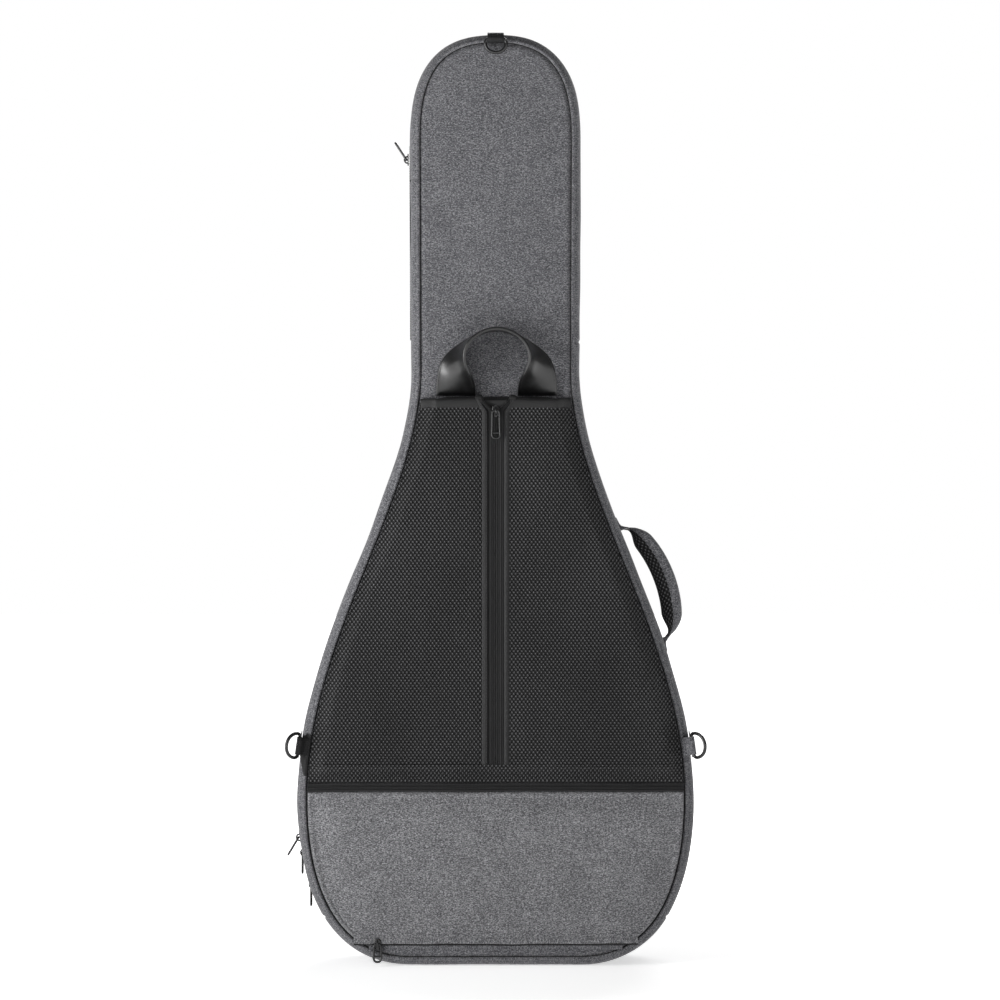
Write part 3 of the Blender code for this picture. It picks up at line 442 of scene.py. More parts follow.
def slab(name, outer, inner, uv, mats, body, outer_slots=None, inner_slot=0, sharp=55.0):
    verts, faces, corners, slots = slab_parts(outer, inner, uv, outer_slots, inner_slot)
    return add_piece(name, verts, faces, corners, slots, mats, body, sharp)


def lengths_along(path):
    return np.concatenate([[0.0], np.cumsum(np.linalg.norm(np.diff(path, axis=0), axis=1))])


def tube_parts(rings, closed=False, ring_slots=None):
    """Faces of a form through matching rings; an open one has its ends closed."""
    rings = np.asarray(rings, float)
    rows, cols = rings.shape[:2]
    verts = rings.reshape(-1, 3)
    loop = np.concatenate([rings, rings[:, :1]], axis=1)
    round_it = np.linalg.norm(np.diff(loop, axis=1), axis=2).mean(axis=0)
    us = np.concatenate([[0.0], np.cumsum(round_it)])
    middles = rings.mean(axis=1)
    ends = np.vstack([middles, middles[:1]])
    vs = lengths_along(ends)
    faces, corners, slots = [], [], []
    for r in range(rows if closed else rows - 1):
        a, b = r * cols, ((r + 1) % rows) * cols
        for k in range(cols):
            m = (k + 1) % cols
            faces.append([a + k, a + m, b + m, b + k])
            corners += [(us[k], vs[r]), (us[k + 1], vs[r]), (us[k + 1], vs[r + 1]), (us[k], vs[r + 1])]
            slots.append(0 if ring_slots is None else ring_slots[k])
    if not closed:
        last = (rows - 1) * cols
        faces.append(list(range(cols - 1, -1, -1)))
        faces.append(list(range(last, last + cols)))
        corners += [(us[k], vs[0]) for k in range(cols - 1, -1, -1)]
        corners += [(us[k], vs[rows - 1]) for k in range(cols)]
        slots += [0, 0]
    faces, corners = outward(verts, faces, corners)
    return verts, faces, corners, slots


def tube(name, rings, mats, body, closed=False, ring_slots=None, sharp=55.0):
    verts, faces, corners, slots = tube_parts(rings, closed, ring_slots)
    return add_piece(name, verts, faces, corners, slots, mats, body, sharp)


def joined(name, parts, mats, body, sharp=55.0):
    """One piece from several closed forms, each with the slot of its material."""
    verts, faces, corners, slots, shift = [], [], [], [], 0
    for (v, f, uv, own), slot_number in parts:
        verts.append(v)
        faces += [[k + shift for k in face] for face in f]
        corners += list(uv)
        slots += [slot_number] * len(own)
        shift += len(v)
    return add_piece(name, np.vstack(verts), faces, corners, slots, mats, body, sharp)


def rod_rings(path, normals, radius, sides=10, closed=False, flat=1.0):
    """Round rings along a path; normals give one direction of each ring's plane."""
    path = np.asarray(path, float)
    normals = np.broadcast_to(np.asarray(normals, float), path.shape)
    if closed:
        forward = unit(np.roll(path, -1, axis=0) - np.roll(path, 1, axis=0))
    else:
        forward = unit(np.gradient(path, axis=0))
    normals = unit(normals - forward * (normals * forward).sum(axis=1)[:, None])
    side = np.cross(forward, normals)
    turn = np.linspace(0.0, 2.0 * np.pi, sides, endpoint=False)[None, :, None]
    radius = np.broadcast_to(np.asarray(radius, float), (len(path),))[:, None, None]
    return (path[:, None] + normals[:, None] * (np.cos(turn) * radius * flat)
            + side[:, None] * (np.sin(turn) * radius))


def between(spots, steps, rows):
    """Rows of three numbers, read at places between the given steps."""
    return np.stack([np.interp(spots, steps, rows[:, k]) for k in range(3)], axis=1)


def stitch_parts(path, normals, pitch, length, radius):
    """Thread bars laid along a path at a pitch, half sunk into the cloth."""
    path = np.asarray(path, float)
    normals = np.broadcast_to(np.asarray(normals, float), path.shape)
    steps = lengths_along(path)
    parts = []
    for k in range(int(steps[-1] / pitch)):
        spots = (k + 0.5) * pitch + length * np.array([-0.5, -0.25, 0.25, 0.5])
        point, normal = between(spots, steps, path), between(spots, steps, normals)
        sink = np.array([-1.1, -0.05, -0.05, -1.1])[:, None] * radius
        rings = rod_rings(point + normal * sink, normal,
                          [radius * 0.7, radius, radius, radius * 0.7], 5)
        parts.append((tube_parts(rings), 0))
    return parts


def stitches(name, paths, pitch, length, radius, mat, body):
    parts = []
    for path, normals in paths:
        parts += stitch_parts(path, normals, pitch, length, radius)
    return joined(name, parts, [mat], body, sharp=80.0)


def catmull(points, count):
    """A smooth curve through points."""
    points = np.asarray(points, float)
    ends = np.vstack([2 * points[0] - points[1], points, 2 * points[-1] - points[-2]])
    out = []
    for k in range(len(points) - 1):
        p0, p1, p2, p3 = ends[k:k + 4]
        for t in np.linspace(0.0, 1.0, count, endpoint=False):
            out.append(0.5 * (2 * p1 + (p2 - p0) * t + (2 * p0 - 5 * p1 + 4 * p2 - p3) * t * t
                              + (3 * p1 - p0 - 3 * p2 + p3) * t ** 3))
    out.append(points[-1])
    return np.array(out)


def swept_area(x, heights):
    """Area between the first and the last column of rows at the given heights."""
    sums = x[1:, 0] - x[1:, -1] + x[:-1, 0] - x[:-1, -1]
    return float((0.5 * sums * np.diff(heights)).sum())


def finish_piece(piece, slot, *nodes):
    if nodes:
        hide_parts(*nodes)
    return piece


# ---------------------------------------------------------------- camera, light and floor
camera_data = bpy.data.cameras.new("camera")
camera = bpy.data.objects.new("camera", camera_data)
bpy.context.scene.collection.objects.link(camera)
bpy.context.scene.camera = camera
SENSOR = 36.0
VIEW_WIDTH = 1.164             # what the picture takes in at the bag's distance
aim = Vector((0.0048, -0.086, 0.5445))
away = 4.6
azimuth = math.radians(-0.6)
camera.location = aim + Vector((math.sin(azimuth), -math.cos(azimuth), 0.0)) * away
camera.rotation_euler = (aim - camera.location).to_track_quat("-Z", "Y").to_euler()
camera_data.sensor_width = SENSOR
camera_data.lens = SENSOR * away / VIEW_WIDTH
camera_data.clip_end = 50.0

world = bpy.data.worlds.new("studio")
bpy.context.scene.world = world
world.use_nodes = True
seen = world.node_tree.nodes["Background"]
seen.inputs["Color"].default_value = (1.0, 1.0, 1.0, 1.0)
soft = node(world.node_tree, "ShaderNodeBackground", {"Color": (1.0, 1.0, 1.0, 1.0), "Strength": 0.21})
path = node(world.node_tree, "ShaderNodeLightPath")
both = node(world.node_tree, "ShaderNodeMixShader",
            {0: path.outputs["Is Camera Ray"], 1: soft.outputs[0], 2: seen.outputs[0]})
world.node_tree.links.new(both.outputs[0], world.node_tree.nodes["World Output"].inputs["Surface"])
bpy.context.scene.view_settings.view_transform = "Standard"


def lamp(name, place, target, size, power):
    data = bpy.data.lights.new(name, "AREA")
    data.shape = "RECTANGLE"
    data.size, data.size_y = size
    data.energy = power
    light = bpy.data.objects.new(name, data)
    bpy.context.scene.collection.objects.link(light)
    light.location = place
    light.rotation_euler = (Vector(target) - Vector(place)).to_track_quat("-Z", "Y").to_euler()


lamp("key", (-1.35, -1.05, 0.50), (0.0, -0.05, 0.40), (0.6, 1.4), 25.0)
lamp("front", (-0.2, -3.2, 1.7), (0.0, 0.0, 0.5), (1.4, 1.4), 6.5)
lamp("behind", (0.6, 2.6, 1.6), (0.0, 0.0, 0.5), (1.6, 1.6), 45.0)


def floor():
    size, steps = 14.0, 30
    xs = np.linspace(-size, size, steps)
    grid = np.stack(np.meshgrid(xs, xs, indexing="ij"), axis=-1)
    top = np.concatenate([grid, np.full(grid.shape[:2] + (1,), -0.0005)], axis=-1)
    mat, tree, shader = make_material("floor_pale", 0.9, specular=0.2)
    place = node(tree, "ShaderNodeTexCoord").outputs["Object"]
    shade = noise(tree, place, 3.0, 2.0, 0.5)
    colour = ramp(tree, shade, [(0.3, (0.93, 0.93, 0.93)), (0.7, (0.96, 0.96, 0.96))])
    tree.links.new(colour, shader.inputs["Base Color"])
    far = node(tree, "ShaderNodeVectorMath", {0: place}, operation="LENGTH").outputs["Value"]
    shader.inputs["Emission Color"].default_value = (1.0, 1.0, 1.0, 1.0)
    glow = node(tree, "ShaderNodeMapRange", {"Value": far, "From Min": 0.35, "From Max": 1.2,
                                             "To Min": 0.55, "To Max": 1.3}).outputs[0]
    tree.links.new(glow, shader.inputs["Emission Strength"])
    slab("floor", top, top - (0, 0, 0.01), grid, [mat], None)


floor()


# ---------------------------------------------------------------- padded covers
NEAR_EDGE = np.array([0.0, 0.0007, 0.0016, 0.0027, 0.0040, 0.0056, 0.0075, 0.0100, 0.0140, 0.0200,
                      0.0290])


INNER_COLUMNS = 14
COVER_INSET = SEAM_INSET - 0.0002


def spread_columns(width):
    """Places across a row, close together near both sides."""
    near = NEAR_EDGE * min(1.0, width / 0.060)
    right = np.concatenate([width - near, np.linspace(width - near[-1], 0.0,
                                                        INNER_COLUMNS + 1)[1:]])
    return np.concatenate([right, -right[-2::-1]])


def cover_grid():
    """Rows of points over the outline at the cover's seam, from the base to the crown."""
    edge = HALF[BASE:-1] - NORMAL[BASE:len(HALF) - 1] * COVER_INSET
    columns = 2 * (len(NEAR_EDGE) + INNER_COLUMNS) - 1
    return np.array([np.stack([spread_columns(w), np.full(columns, z)], axis=1)
                     for w, z in edge if w > 0.002])


def cover(name, node_name, body, face, way, crown, seed):
    """The padded board with its rolled edge, seam puckers and plush lining."""
    grid = cover_grid()
    x, z = grid[..., 0], grid[..., 1]
    d, s = from_edge(x, z, COVER_INSET)
    rise = -0.0036 * (1.0 - smooth(d / 0.0062)) ** 1.2
    rise += crown(z) * smooth(d / 0.055)
    rise += 0.0006 * ripple(x, z, seed, 0.12) * smooth(d / 0.03) * np.minimum(1.0, crown(z) / 0.0015)
    pucker = 0.00035 * np.sin(s * 2 * np.pi / 0.013 + 2.0 * ripple(s, s, seed + 1, 0.09))
    rise += pucker * np.exp(-((d - 0.0055) / 0.0035) ** 2)
    outer = xyz(x, face(z) + way * rise, z)
    under = -way * (PANEL_THICK - 0.0006 * ripple(x, z, seed + 2, 0.07) * smooth(d / 0.02))
    inner = xyz(x, face(z) + under, z)
    piece = slab(name, outer, inner, grid, [GREY, LINING], body, inner_slot=1)
    return finish_piece(piece, "woven_grey", node_name)


cover("back_cover", "back_panel", "bag_back", back_y, -1.0,
      lambda z: 0.0022 * smooth((z - 0.668) / 0.05), 3)
cover("lid_cover", "lid_panel", "lid", front_y, 1.0, lambda z: 0.0030 + 0.0 * z, 13)


# ---------------------------------------------------------------- gussets and welts
def gusset_ring(s, face, way, seed):
    """Closed section of the padded side strip at places along the outline."""
    point, normal = along(s)
    y_face = face(point[:, 1])
    # Known fault: the back's strips run to the lid's side of the zip. Their right end is at
    # SPLIT_Y - ZIP_HALF - GAP.
    zip_y = SPLIT_Y + ZIP_HALF + GAP
    length = np.abs(zip_y - y_face)
    down = np.clip(-normal[:, 1], 0.0, 1.0) ** 4
    table = [(0.0038, -0.0100), (0.0044, -0.0078), (0.0058, -0.0052), (0.0084, -0.0026),
             (0.0125, -0.0007), (0.0190, 0.0005)]
    outer = [(np.full_like(s, q), np.full_like(s, off)) for q, off in table]
    for share in (0.42, 0.56, 0.70, 0.82):
        outer.append((length * share, np.full_like(s, 0.0011 - 0.0022 * abs(share - 0.52))))
    for short, off in ((0.0050, 0.0001), (0.0026, -0.0003), (0.0010, -0.0011), (0.0002, -0.0024)):
        outer.append((length - short, np.full_like(s, off)))
    inner = [(length - 0.0002, np.full_like(s, -0.0052)), (length * 0.75, np.full_like(s, -0.0062)),
             (length * 0.5, np.full_like(s, -0.0064)),
             (np.full_like(s, 0.0190), np.full_like(s, -0.0062)),
             (np.full_like(s, 0.0127), np.full_like(s, -0.0100))]
    rings = []
    for k, (q, off) in enumerate(outer + inner):
        if k < len(outer):
            off = off + 0.0006 * ripple(s, q, seed, 0.10) * smooth(q / 0.012)
            pucker = 0.00030 * np.sin(s * 2 * np.pi / 0.012 + 2.0 * ripple(s, s, seed + 1, 0.08))
            off = off + pucker * np.exp(-((q - 0.008) / 0.004) ** 2)
            off = off * (1.0 - down * (off > 0.0))
        rings.append(outline_point(s, off, y_face - way * q))
    return np.stack(rings, axis=1), len(outer)


def gusset(name, first, last, face, way, body, seed, *nodes):
    if last < first:
        last += LENGTH
    count = max(6, int((last - first) / 0.0055))
    s = np.linspace(first + GAP / 2, last - GAP / 2, count)
    tuck = np.array([0.0012, 0.0028, 0.0050])
    s = np.unique(np.concatenate([s, first + tuck, last - tuck]))
    rings, outer_count = gusset_ring(s, face, way, seed)
    pull = 0.0016 * (np.exp(-((s - first) / 0.0016) ** 2) + np.exp(-((s - last) / 0.0016) ** 2))
    point, normal = along(s)
    shift = np.zeros_like(rings)
    shift[:, :outer_count, 0] = -(normal[:, 0] * pull)[:, None]
    shift[:, :outer_count, 2] = -(normal[:, 1] * pull)[:, None]
    slots = [0] * (outer_count - 1) + [1] * (rings.shape[1] - outer_count + 1)
    piece = tube(name, rings + shift, [GREY, LINING], body, ring_slots=slots)
    return finish_piece(piece, "woven_grey", *nodes)


LOW_SEAM_Z, LEFT_SEAM_Z = 0.056, 0.920
RIGHT_SEAM_Z = {"bag_back": 0.730, "lid": 0.900}
for prefix, body, face, way in (("gusset", "bag_back", back_y, -1.0),
                                ("lid_gusset", "lid", front_y, 1.0)):
    low_right, low_left = arc_at(LOW_SEAM_Z, 1), arc_at(LOW_SEAM_Z, -1)
    high_right, high_left = arc_at(RIGHT_SEAM_Z[body], 1), arc_at(LEFT_SEAM_Z, -1)
    gusset(prefix + "_strip_right", low_right, high_right, face, way, body, 21, prefix + "_right")
    gusset(prefix + "_strip_head", high_right, high_left, face, way, body, 22, prefix + "_head")
    gusset(prefix + "_strip_left", high_left, low_left, face, way, body, 23, prefix + "_left")
    gusset(prefix + "_strip_bottom", low_left, low_right, face, way, body, 24, prefix + "_bottom")

EVEN = np.linspace(0.0, LENGTH, 620, endpoint=False)


def welt(name, node_name, body, face, way):
    """The covered cord in the seam round a panel, with a thin dark rod in the groove beside it as
    painted shade.
    """
    radius = 0.0020 + 0.00012 * ripple(EVEN, EVEN, 31, 0.05)
    centre = outline_point(EVEN, -0.0085, face(along(EVEN)[0][:, 1]) - way * 0.0017)
    out = outward_at(EVEN)
    cord = tube_parts(rod_rings(centre, out, radius, 10, closed=True), closed=True)
    sunk = np.array((0.0, -way * 0.0004, 0.0))
    # A thin dark rod in the groove beside the cord: painted shade in the seam's crease.
    groove = tube_parts(rod_rings(centre - out * 0.0024 + sunk, out, 0.00062, 6, closed=True),
                        closed=True)
    piece = joined(name, [(cord, 0), (groove, 1)], [GREY, PAINTED_SHADE], body)
    return finish_piece(piece, "woven_grey", node_name)


welt("back_welt", "back_piping", "bag_back", back_y, -1.0)
welt("lid_welt", "lid_piping", "lid", front_y, 1.0)


# ---------------------------------------------------------------- main zip and fabric hinge
spine_low, spine_high = (corner[2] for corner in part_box("hinge_spine"))
SPINE_LOW, SPINE_HIGH = arc_at(spine_low, 1), arc_at(spine_high, 1)


TOOTH_PITCH = 0.0026


def main_zip(name, node_name, body, side):
    """One tape of the main zip with its row of coil teeth."""
    start, stop = SPINE_HIGH + 0.0008, SPINE_LOW - 0.0008 + LENGTH
    s = np.linspace(start, stop, 520)
    section = [(0.0078, -0.0016), (0.0055, -0.0015), (0.0030, -0.0017), (0.0014, -0.0018),
               (0.0013, -0.0030), (0.0078, -0.0030)]
    tape = tube_parts(np.stack([outline_point(s, off, SPLIT_Y + side * q) for q, off in section],
                               axis=1))
    teeth = int((stop - start) / TOOTH_PITCH)
    s = np.linspace(start, stop, teeth * 4 + 1)
    beat = 0.5 + 0.5 * np.cos(np.arange(len(s)) * np.pi / 2 + (0.0 if side > 0 else np.pi))
    rings = []
    for q, off in ((0.00125, -0.0014), (0.0007, -0.0007), (0.0, -0.0012), (0.0, -0.0032),
                   (0.0007, -0.0038), (0.00125, -0.0032)):
        near = 0.00018 + q + (0.00035 * (1.0 - beat) if q < 0.001 else 0.0)
        rings.append(outline_point(s, off - 0.0004 * (1.0 - beat) * (off > -0.002),
                                   SPLIT_Y + side * near))
    coil = tube_parts(np.stack(rings, axis=1))
    piece = joined(name, [(tape, 0), (coil, 1)], [TAPE, COIL], body)
    return finish_piece(piece, "zip_black", node_name)


main_zip("zip_band_back", "main_zip_back", "bag_back", -1.0)
main_zip("zip_band_lid", "main_zip_lid", "lid", 1.0)


def seam_lines(body, y, name):
    """A row of topstitching beside the main zip."""
    s = np.linspace(SPINE_HIGH + 0.004, SPINE_LOW - 0.004 + LENGTH, 500)
    piece = stitches(name, [(outline_point(s, 0.0002, y), outward_at(s))], 0.0048, 0.0034, 0.00028,
                     THREAD_GREY, body)


seam_lines("bag_back", SPLIT_Y - ZIP_HALF - 0.0030, "zip_stitches_back")
seam_lines("lid", SPLIT_Y + ZIP_HALF + 0.0030, "zip_stitches_lid")


def spine():
    """The plain cloth that joins the two halves where the zip stops."""
    s = np.linspace(SPINE_LOW + 0.0008, SPINE_HIGH - 0.0008, 34)
    ys = np.linspace(SPLIT_Y - ZIP_HALF, SPLIT_Y + ZIP_HALF, 17)
    bow = 0.0005 + 0.0006 * np.sin(np.linspace(0.0, np.pi, 17))
    outer = np.stack([outline_point(s, b - 0.0012, y) for y, b in zip(ys, bow)], axis=1)
    inner = np.stack([outline_point(s, -0.0036, y) for y in ys], axis=1)
    uv = np.stack(np.meshgrid(s, ys, indexing="ij"), axis=-1)
    piece = slab("spine_fabric", outer, inner, uv, [GREY], None)
    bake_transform(piece)
    return finish_piece(piece, "woven_grey", "hinge_spine")


spine()


# ---------------------------------------------------------------- mesh strap pocket
def mesh_rise(x, z):
    """How far the mesh stands off the back, with the straps softly showing through."""
    side_gap = half_at(z, -MESH_EDGE_INSET) - np.abs(x)
    shape = smooth(side_gap / MESH_RAMP) * smooth((z - MESH_BOTTOM_Z) / MESH_RAMP)
    soft = 0.0009 * ripple(x, z, 41, 0.16) - 0.0004
    return MESH_LIFT * shape + soft * shape


def mesh_y(x, z):
    """Depth of the mesh's outer face."""
    return BACK_Y - GAP - mesh_rise(x, z) - MESH_THICK


def fold_at(z):
    share = np.clip((z - FOLD_BOTTOM[1]) / (FOLD_TOP[1] - FOLD_BOTTOM[1]), 0.0, 1.0)
    return FOLD_BOTTOM[0] + (FOLD_TOP[0] - FOLD_BOTTOM[0]) * share


def notch(x, z):
    """The V where the two halves part above the slider: inner edges curve outwards."""
    open_by = 0.0150 * smooth((z - 0.6465) / 0.0170) ** 0.8
    reach = 0.030
    return x + open_by * np.clip(1.0 - x / reach, 0.0, 1.0)


def mesh_side(side, word):
    z = np.concatenate([np.linspace(0.2367, 0.640, 90),
                        np.linspace(0.640, MESH_TOP_Z - 0.0045, 10)[1:]])
    rim = half_at(z, -MESH_EDGE_INSET)
    ramp_places = np.array([0.0, 0.0012, 0.003, 0.005, 0.0075, 0.010, 0.013, 0.016])
    grid_x = []
    for r, height in zip(rim, z):
        outer_part = r - ramp_places
        fold = float(fold_at(height))
        inner_part = np.linspace(r - 0.016, fold + 0.0055, 20)[1:]
        across_fold = np.linspace(fold + 0.0055, fold - 0.0055, 9)[1:]
        stop = 0.0150
        rest = np.linspace(max(fold - 0.0055, stop + 0.0002), stop, 12)[1:]
        columns = np.concatenate([outer_part, inner_part, across_fold, rest])
        columns = np.maximum(columns, 0.0)
        low = columns < stop
        columns[low] = stop - (stop - columns[low]) * 0.02
        columns = np.minimum.accumulate(columns)
        columns -= np.arange(len(columns)) * 1e-6
        grid_x.append(columns)
    x = np.array(grid_x)
    zz = np.broadcast_to(z[:, None], x.shape)
    x = notch(x, zz)
    top_wave = 0.0006 * np.sin(x / 0.021) * smooth((zz - 0.63) / 0.03)
    outer = xyz(side * x, mesh_y(x, zz), zz + top_wave)
    inner = outer + (0.0, MESH_THICK, 0.0)
    uv = np.stack([side * x, zz], axis=-1)
    piece = slab("mesh_" + word, outer, inner, uv, [MESH], None)
    n = unit(np.array([FOLD_TOP[1] - FOLD_BOTTOM[1], -(FOLD_TOP[0] - FOLD_BOTTOM[0])]))
    middle = np.array([(FOLD_TOP[0] + FOLD_BOTTOM[0]) / 2, (FOLD_TOP[1] + FOLD_BOTTOM[1]) / 2])
    start, end = middle + n * 0.005, middle - n * 0.005
    spots = [(side * p[0], MESH_FACE_Y, p[1]) for p in (start, end)]
    area = swept_area(x, z)
    return piece, spots, area, float(x[:, 0].max() - 0.015)


def top_binding(side, word):
    """The smooth band folded over the mesh's top edge."""
    steps = 46
    rim = float(half_at(MESH_TOP_Z - 0.004, -MESH_EDGE_INSET)) - 0.0006
    x = np.linspace(rim, 0.0163, steps)
    z0 = MESH_TOP_Z - 0.0045
    wobble = 0.0007 * np.sin(x / 0.0135 + side) + 0.0004 * ripple(x, x, 47 + int(side), 0.03)
    section = [(-0.0066, -0.0008), (-0.0030, -0.0013), (0.0010, -0.0012), (0.0034, -0.0006),
               (0.0045, 0.0012), (0.0036, 0.0034), (0.0008, 0.0043), (-0.0060, 0.0040)]
    face = mesh_y(x, np.full(steps, z0))
    rings = [xyz(side * x, np.minimum(face + dy, BACK_Y - GAP), z0 + dz + wobble * (dz > -0.004))
             for dz, dy in section]
    return tube("mesh_binding_" + word, np.stack(rings, axis=1), [BINDING], None)


def tape_half(side, word):
    """Half of the centre zip with the binding that covers the mesh's cut edge."""
    body = "flap_" + word
    z = np.concatenate([np.linspace(FOLD_BOTTOM[1] + 0.0003, 0.640, 120),
                        np.linspace(0.640, MESH_TOP_Z - 0.0006, 14)[1:]])
    if side < 0:
        table = [(0.0002, 0.0006), (0.0006, 0.0014), (0.0011, 0.0015), (0.0016, 0.0008),
                 (0.0022, 0.0007), (0.0026, 0.0011), (0.0032, 0.0011), (0.0036, 0.0007),
                 (0.0048, 0.0007), (0.0052, 0.0010), (0.0058, 0.0010), (0.0062, 0.0006),
                 (0.0078, 0.0006), (0.0081, -0.0006), (0.0093, -0.0006), (0.0096, 0.0010),
                 (0.0104, 0.0017), (0.0130, 0.0019), (0.0152, 0.0017), (0.0162, 0.0009),
                 (0.0164, -0.0002)]
    else:
        table = [(0.0002, 0.0006), (0.0006, 0.0014), (0.0011, 0.0015), (0.0016, 0.0008),
                 (0.0024, 0.0007), (0.0028, 0.0011), (0.0034, 0.0011), (0.0038, 0.0007),
                 (0.0052, 0.0007), (0.0056, 0.0010), (0.0062, 0.0010), (0.0066, 0.0006),
                 (0.0086, 0.0006), (0.0090, 0.0002), (0.0096, 0.0011), (0.0104, 0.0017),
                 (0.0122, 0.0018), (0.0138, 0.0016), (0.0150, 0.0008), (0.0160, 0.0000),
                 (0.0164, -0.0002)]
    x = np.repeat(np.array([p[0] for p in table])[None], len(z), axis=0)
    zz = np.broadcast_to(z[:, None], x.shape)
    bowed = notch(x, zz)
    height = np.array([p[1] for p in table])[None] + 0.00012 * ripple(zz, x, 51, 0.03)
    base = mesh_y(bowed, zz)
    outer = xyz(side * bowed, base - height, zz)
    inner = xyz(side * bowed, base + 0.0006, zz)
    slots = np.zeros((len(z) - 1, len(table) - 1), int)
    slots[:, 14:] = 1
    slots[:, :3] = 2
    uv = np.stack([side * x, zz], axis=-1)
    piece = slab("pocket_tape_" + word, outer, inner, uv, [TAPE, BINDING, COIL], body,
                 outer_slots=slots, sharp=40.0)
    finish_piece(piece, "zip_black", "pocket_zip_" + word)
    where = (0.0112, 0.0148) if side < 0 else (0.0120,)
    paths = []
    for place in where:
        line_z = np.linspace(0.2385, 0.6585, 160)
        line_x = notch(np.full_like(line_z, place), line_z)
        paths.append((xyz(side * line_x, mesh_y(line_x, line_z) - 0.00185, line_z), BACKWARD))
    row = stitches("tape_stitches_" + word, paths, 0.0058 if side > 0 else 0.0036,
                   0.0026 if side > 0 else 0.0024, 0.00034, THREAD, body)


def rolled_end(side, word):
    """The zip tape's turned-under end at the top corner of the pocket."""
    x0, z0 = 0.0195, MESH_TOP_Z + 0.0008
    path = np.array([(x0 - 0.004, -0.0006), (x0, 0.0), (x0 + 0.0045, -0.0012)])
    curve = catmull(path, 6)
    points = xyz(side * curve[:, 0], MESH_FACE_Y + 0.0006, z0 + curve[:, 1])
    taper = 0.0030 * np.sqrt(np.clip(1.0 - np.linspace(-0.92, 0.92, len(curve)) ** 4, 0.0, 1.0))
    rings = rod_rings(points, (0.0, 0.0, 1.0), taper, 12, flat=1.15)
    piece = tube("tape_end_" + word, rings, [TAPE], "flap_" + word)


def mesh_base():
    """The fixed band of mesh along the pocket's bottom."""
    z = np.linspace(MESH_BOTTOM_Z - 0.0002, 0.2365, 16)
    rows = []
    for height in z:
        rim = float(half_at(height, -MESH_EDGE_INSET))
        right = np.concatenate([rim - np.array([0.0, 0.0015, 0.004, 0.007, 0.010, 0.013, 0.016]),
                                np.linspace(rim - 0.020, 0.0, 34)])
        rows.append(np.concatenate([right, -right[-2::-1]]))
    x = np.array(rows)
    zz = np.broadcast_to(z[:, None], x.shape)
    outer = xyz(x, mesh_y(x, zz), zz)
    piece = slab("mesh_foot", outer, outer + (0.0, MESH_THICK, 0.0), np.stack([x, zz], axis=-1),
                 [MESH], "bag_back")


for side, word in ((-1, "left"), (1, "right")):
    cloth, spots, area, width = mesh_side(side, word)
    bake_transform(cloth)
    finish_piece(cloth, "air_mesh", "mesh_side_" + word, "mesh_flap_" + word)
    band = top_binding(side, word)
    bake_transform(band)
    tape_half(side, word)
    rolled_end(side, word)
mesh_base()


def zip_guard():
    """The dark flap of cloth behind the centre zip, sewn to its left half."""
    z = np.linspace(0.242, MESH_TOP_Z - 0.0025, 60)
    x = np.linspace(-0.0150, 0.0125, 9)
    xx, zz = np.meshgrid(x, z)
    y = BACK_Y - GAP - mesh_rise(np.abs(xx), zz) + 0.0008 + 0.0003 * ripple(xx, zz, 61, 0.05)
    outer = xyz(xx, y, zz)
    piece = slab("zip_guard", outer, outer + (0.0, 0.0008, 0.0), np.stack([xx, zz], axis=-1),
                 [BINDING], "flap_left")


zip_guard()


def bottom_tape():
    """Ribbed tape that closes the mesh pocket above the lower pocket."""
    heights = np.array([0.2038, 0.2042, 0.2062, 0.2068, 0.2076, 0.2082, 0.2094, 0.2100, 0.2108, 0.2114,
                        0.2126, 0.2134, 0.2144, 0.2152])
    lifts = np.array([0.0004, 0.0016, 0.0018, 0.0012, 0.0012, 0.0020, 0.0020, 0.0012, 0.0012, 0.0020,
                      0.0019, 0.0018, 0.0015, 0.0004])
    rim = half_at(heights, -MESH_EDGE_INSET)
    share = np.linspace(-1.0, 1.0, 120)
    xx = share[None] * rim[:, None]
    zz = np.repeat(heights[:, None], 120, axis=1)
    lift = lifts[:, None] * 1.25 + 0.0006 + 0.0002 * ripple(xx, zz, 71, 0.02)
    zz = zz + 0.0006 * ripple(xx, 0.0 * xx, 72, 0.12)
    outer = xyz(xx, BACK_Y - GAP - lift, zz)
    inner = xyz(xx, BACK_Y - 0.0001, zz)
    piece = slab("bottom_tape", outer, inner, np.stack([zz, xx], axis=-1), [WEB], "bag_back",
                 sharp=40.0)
    finish_piece(piece, "black_webbing", "mesh_bottom_tape")


bottom_tape()


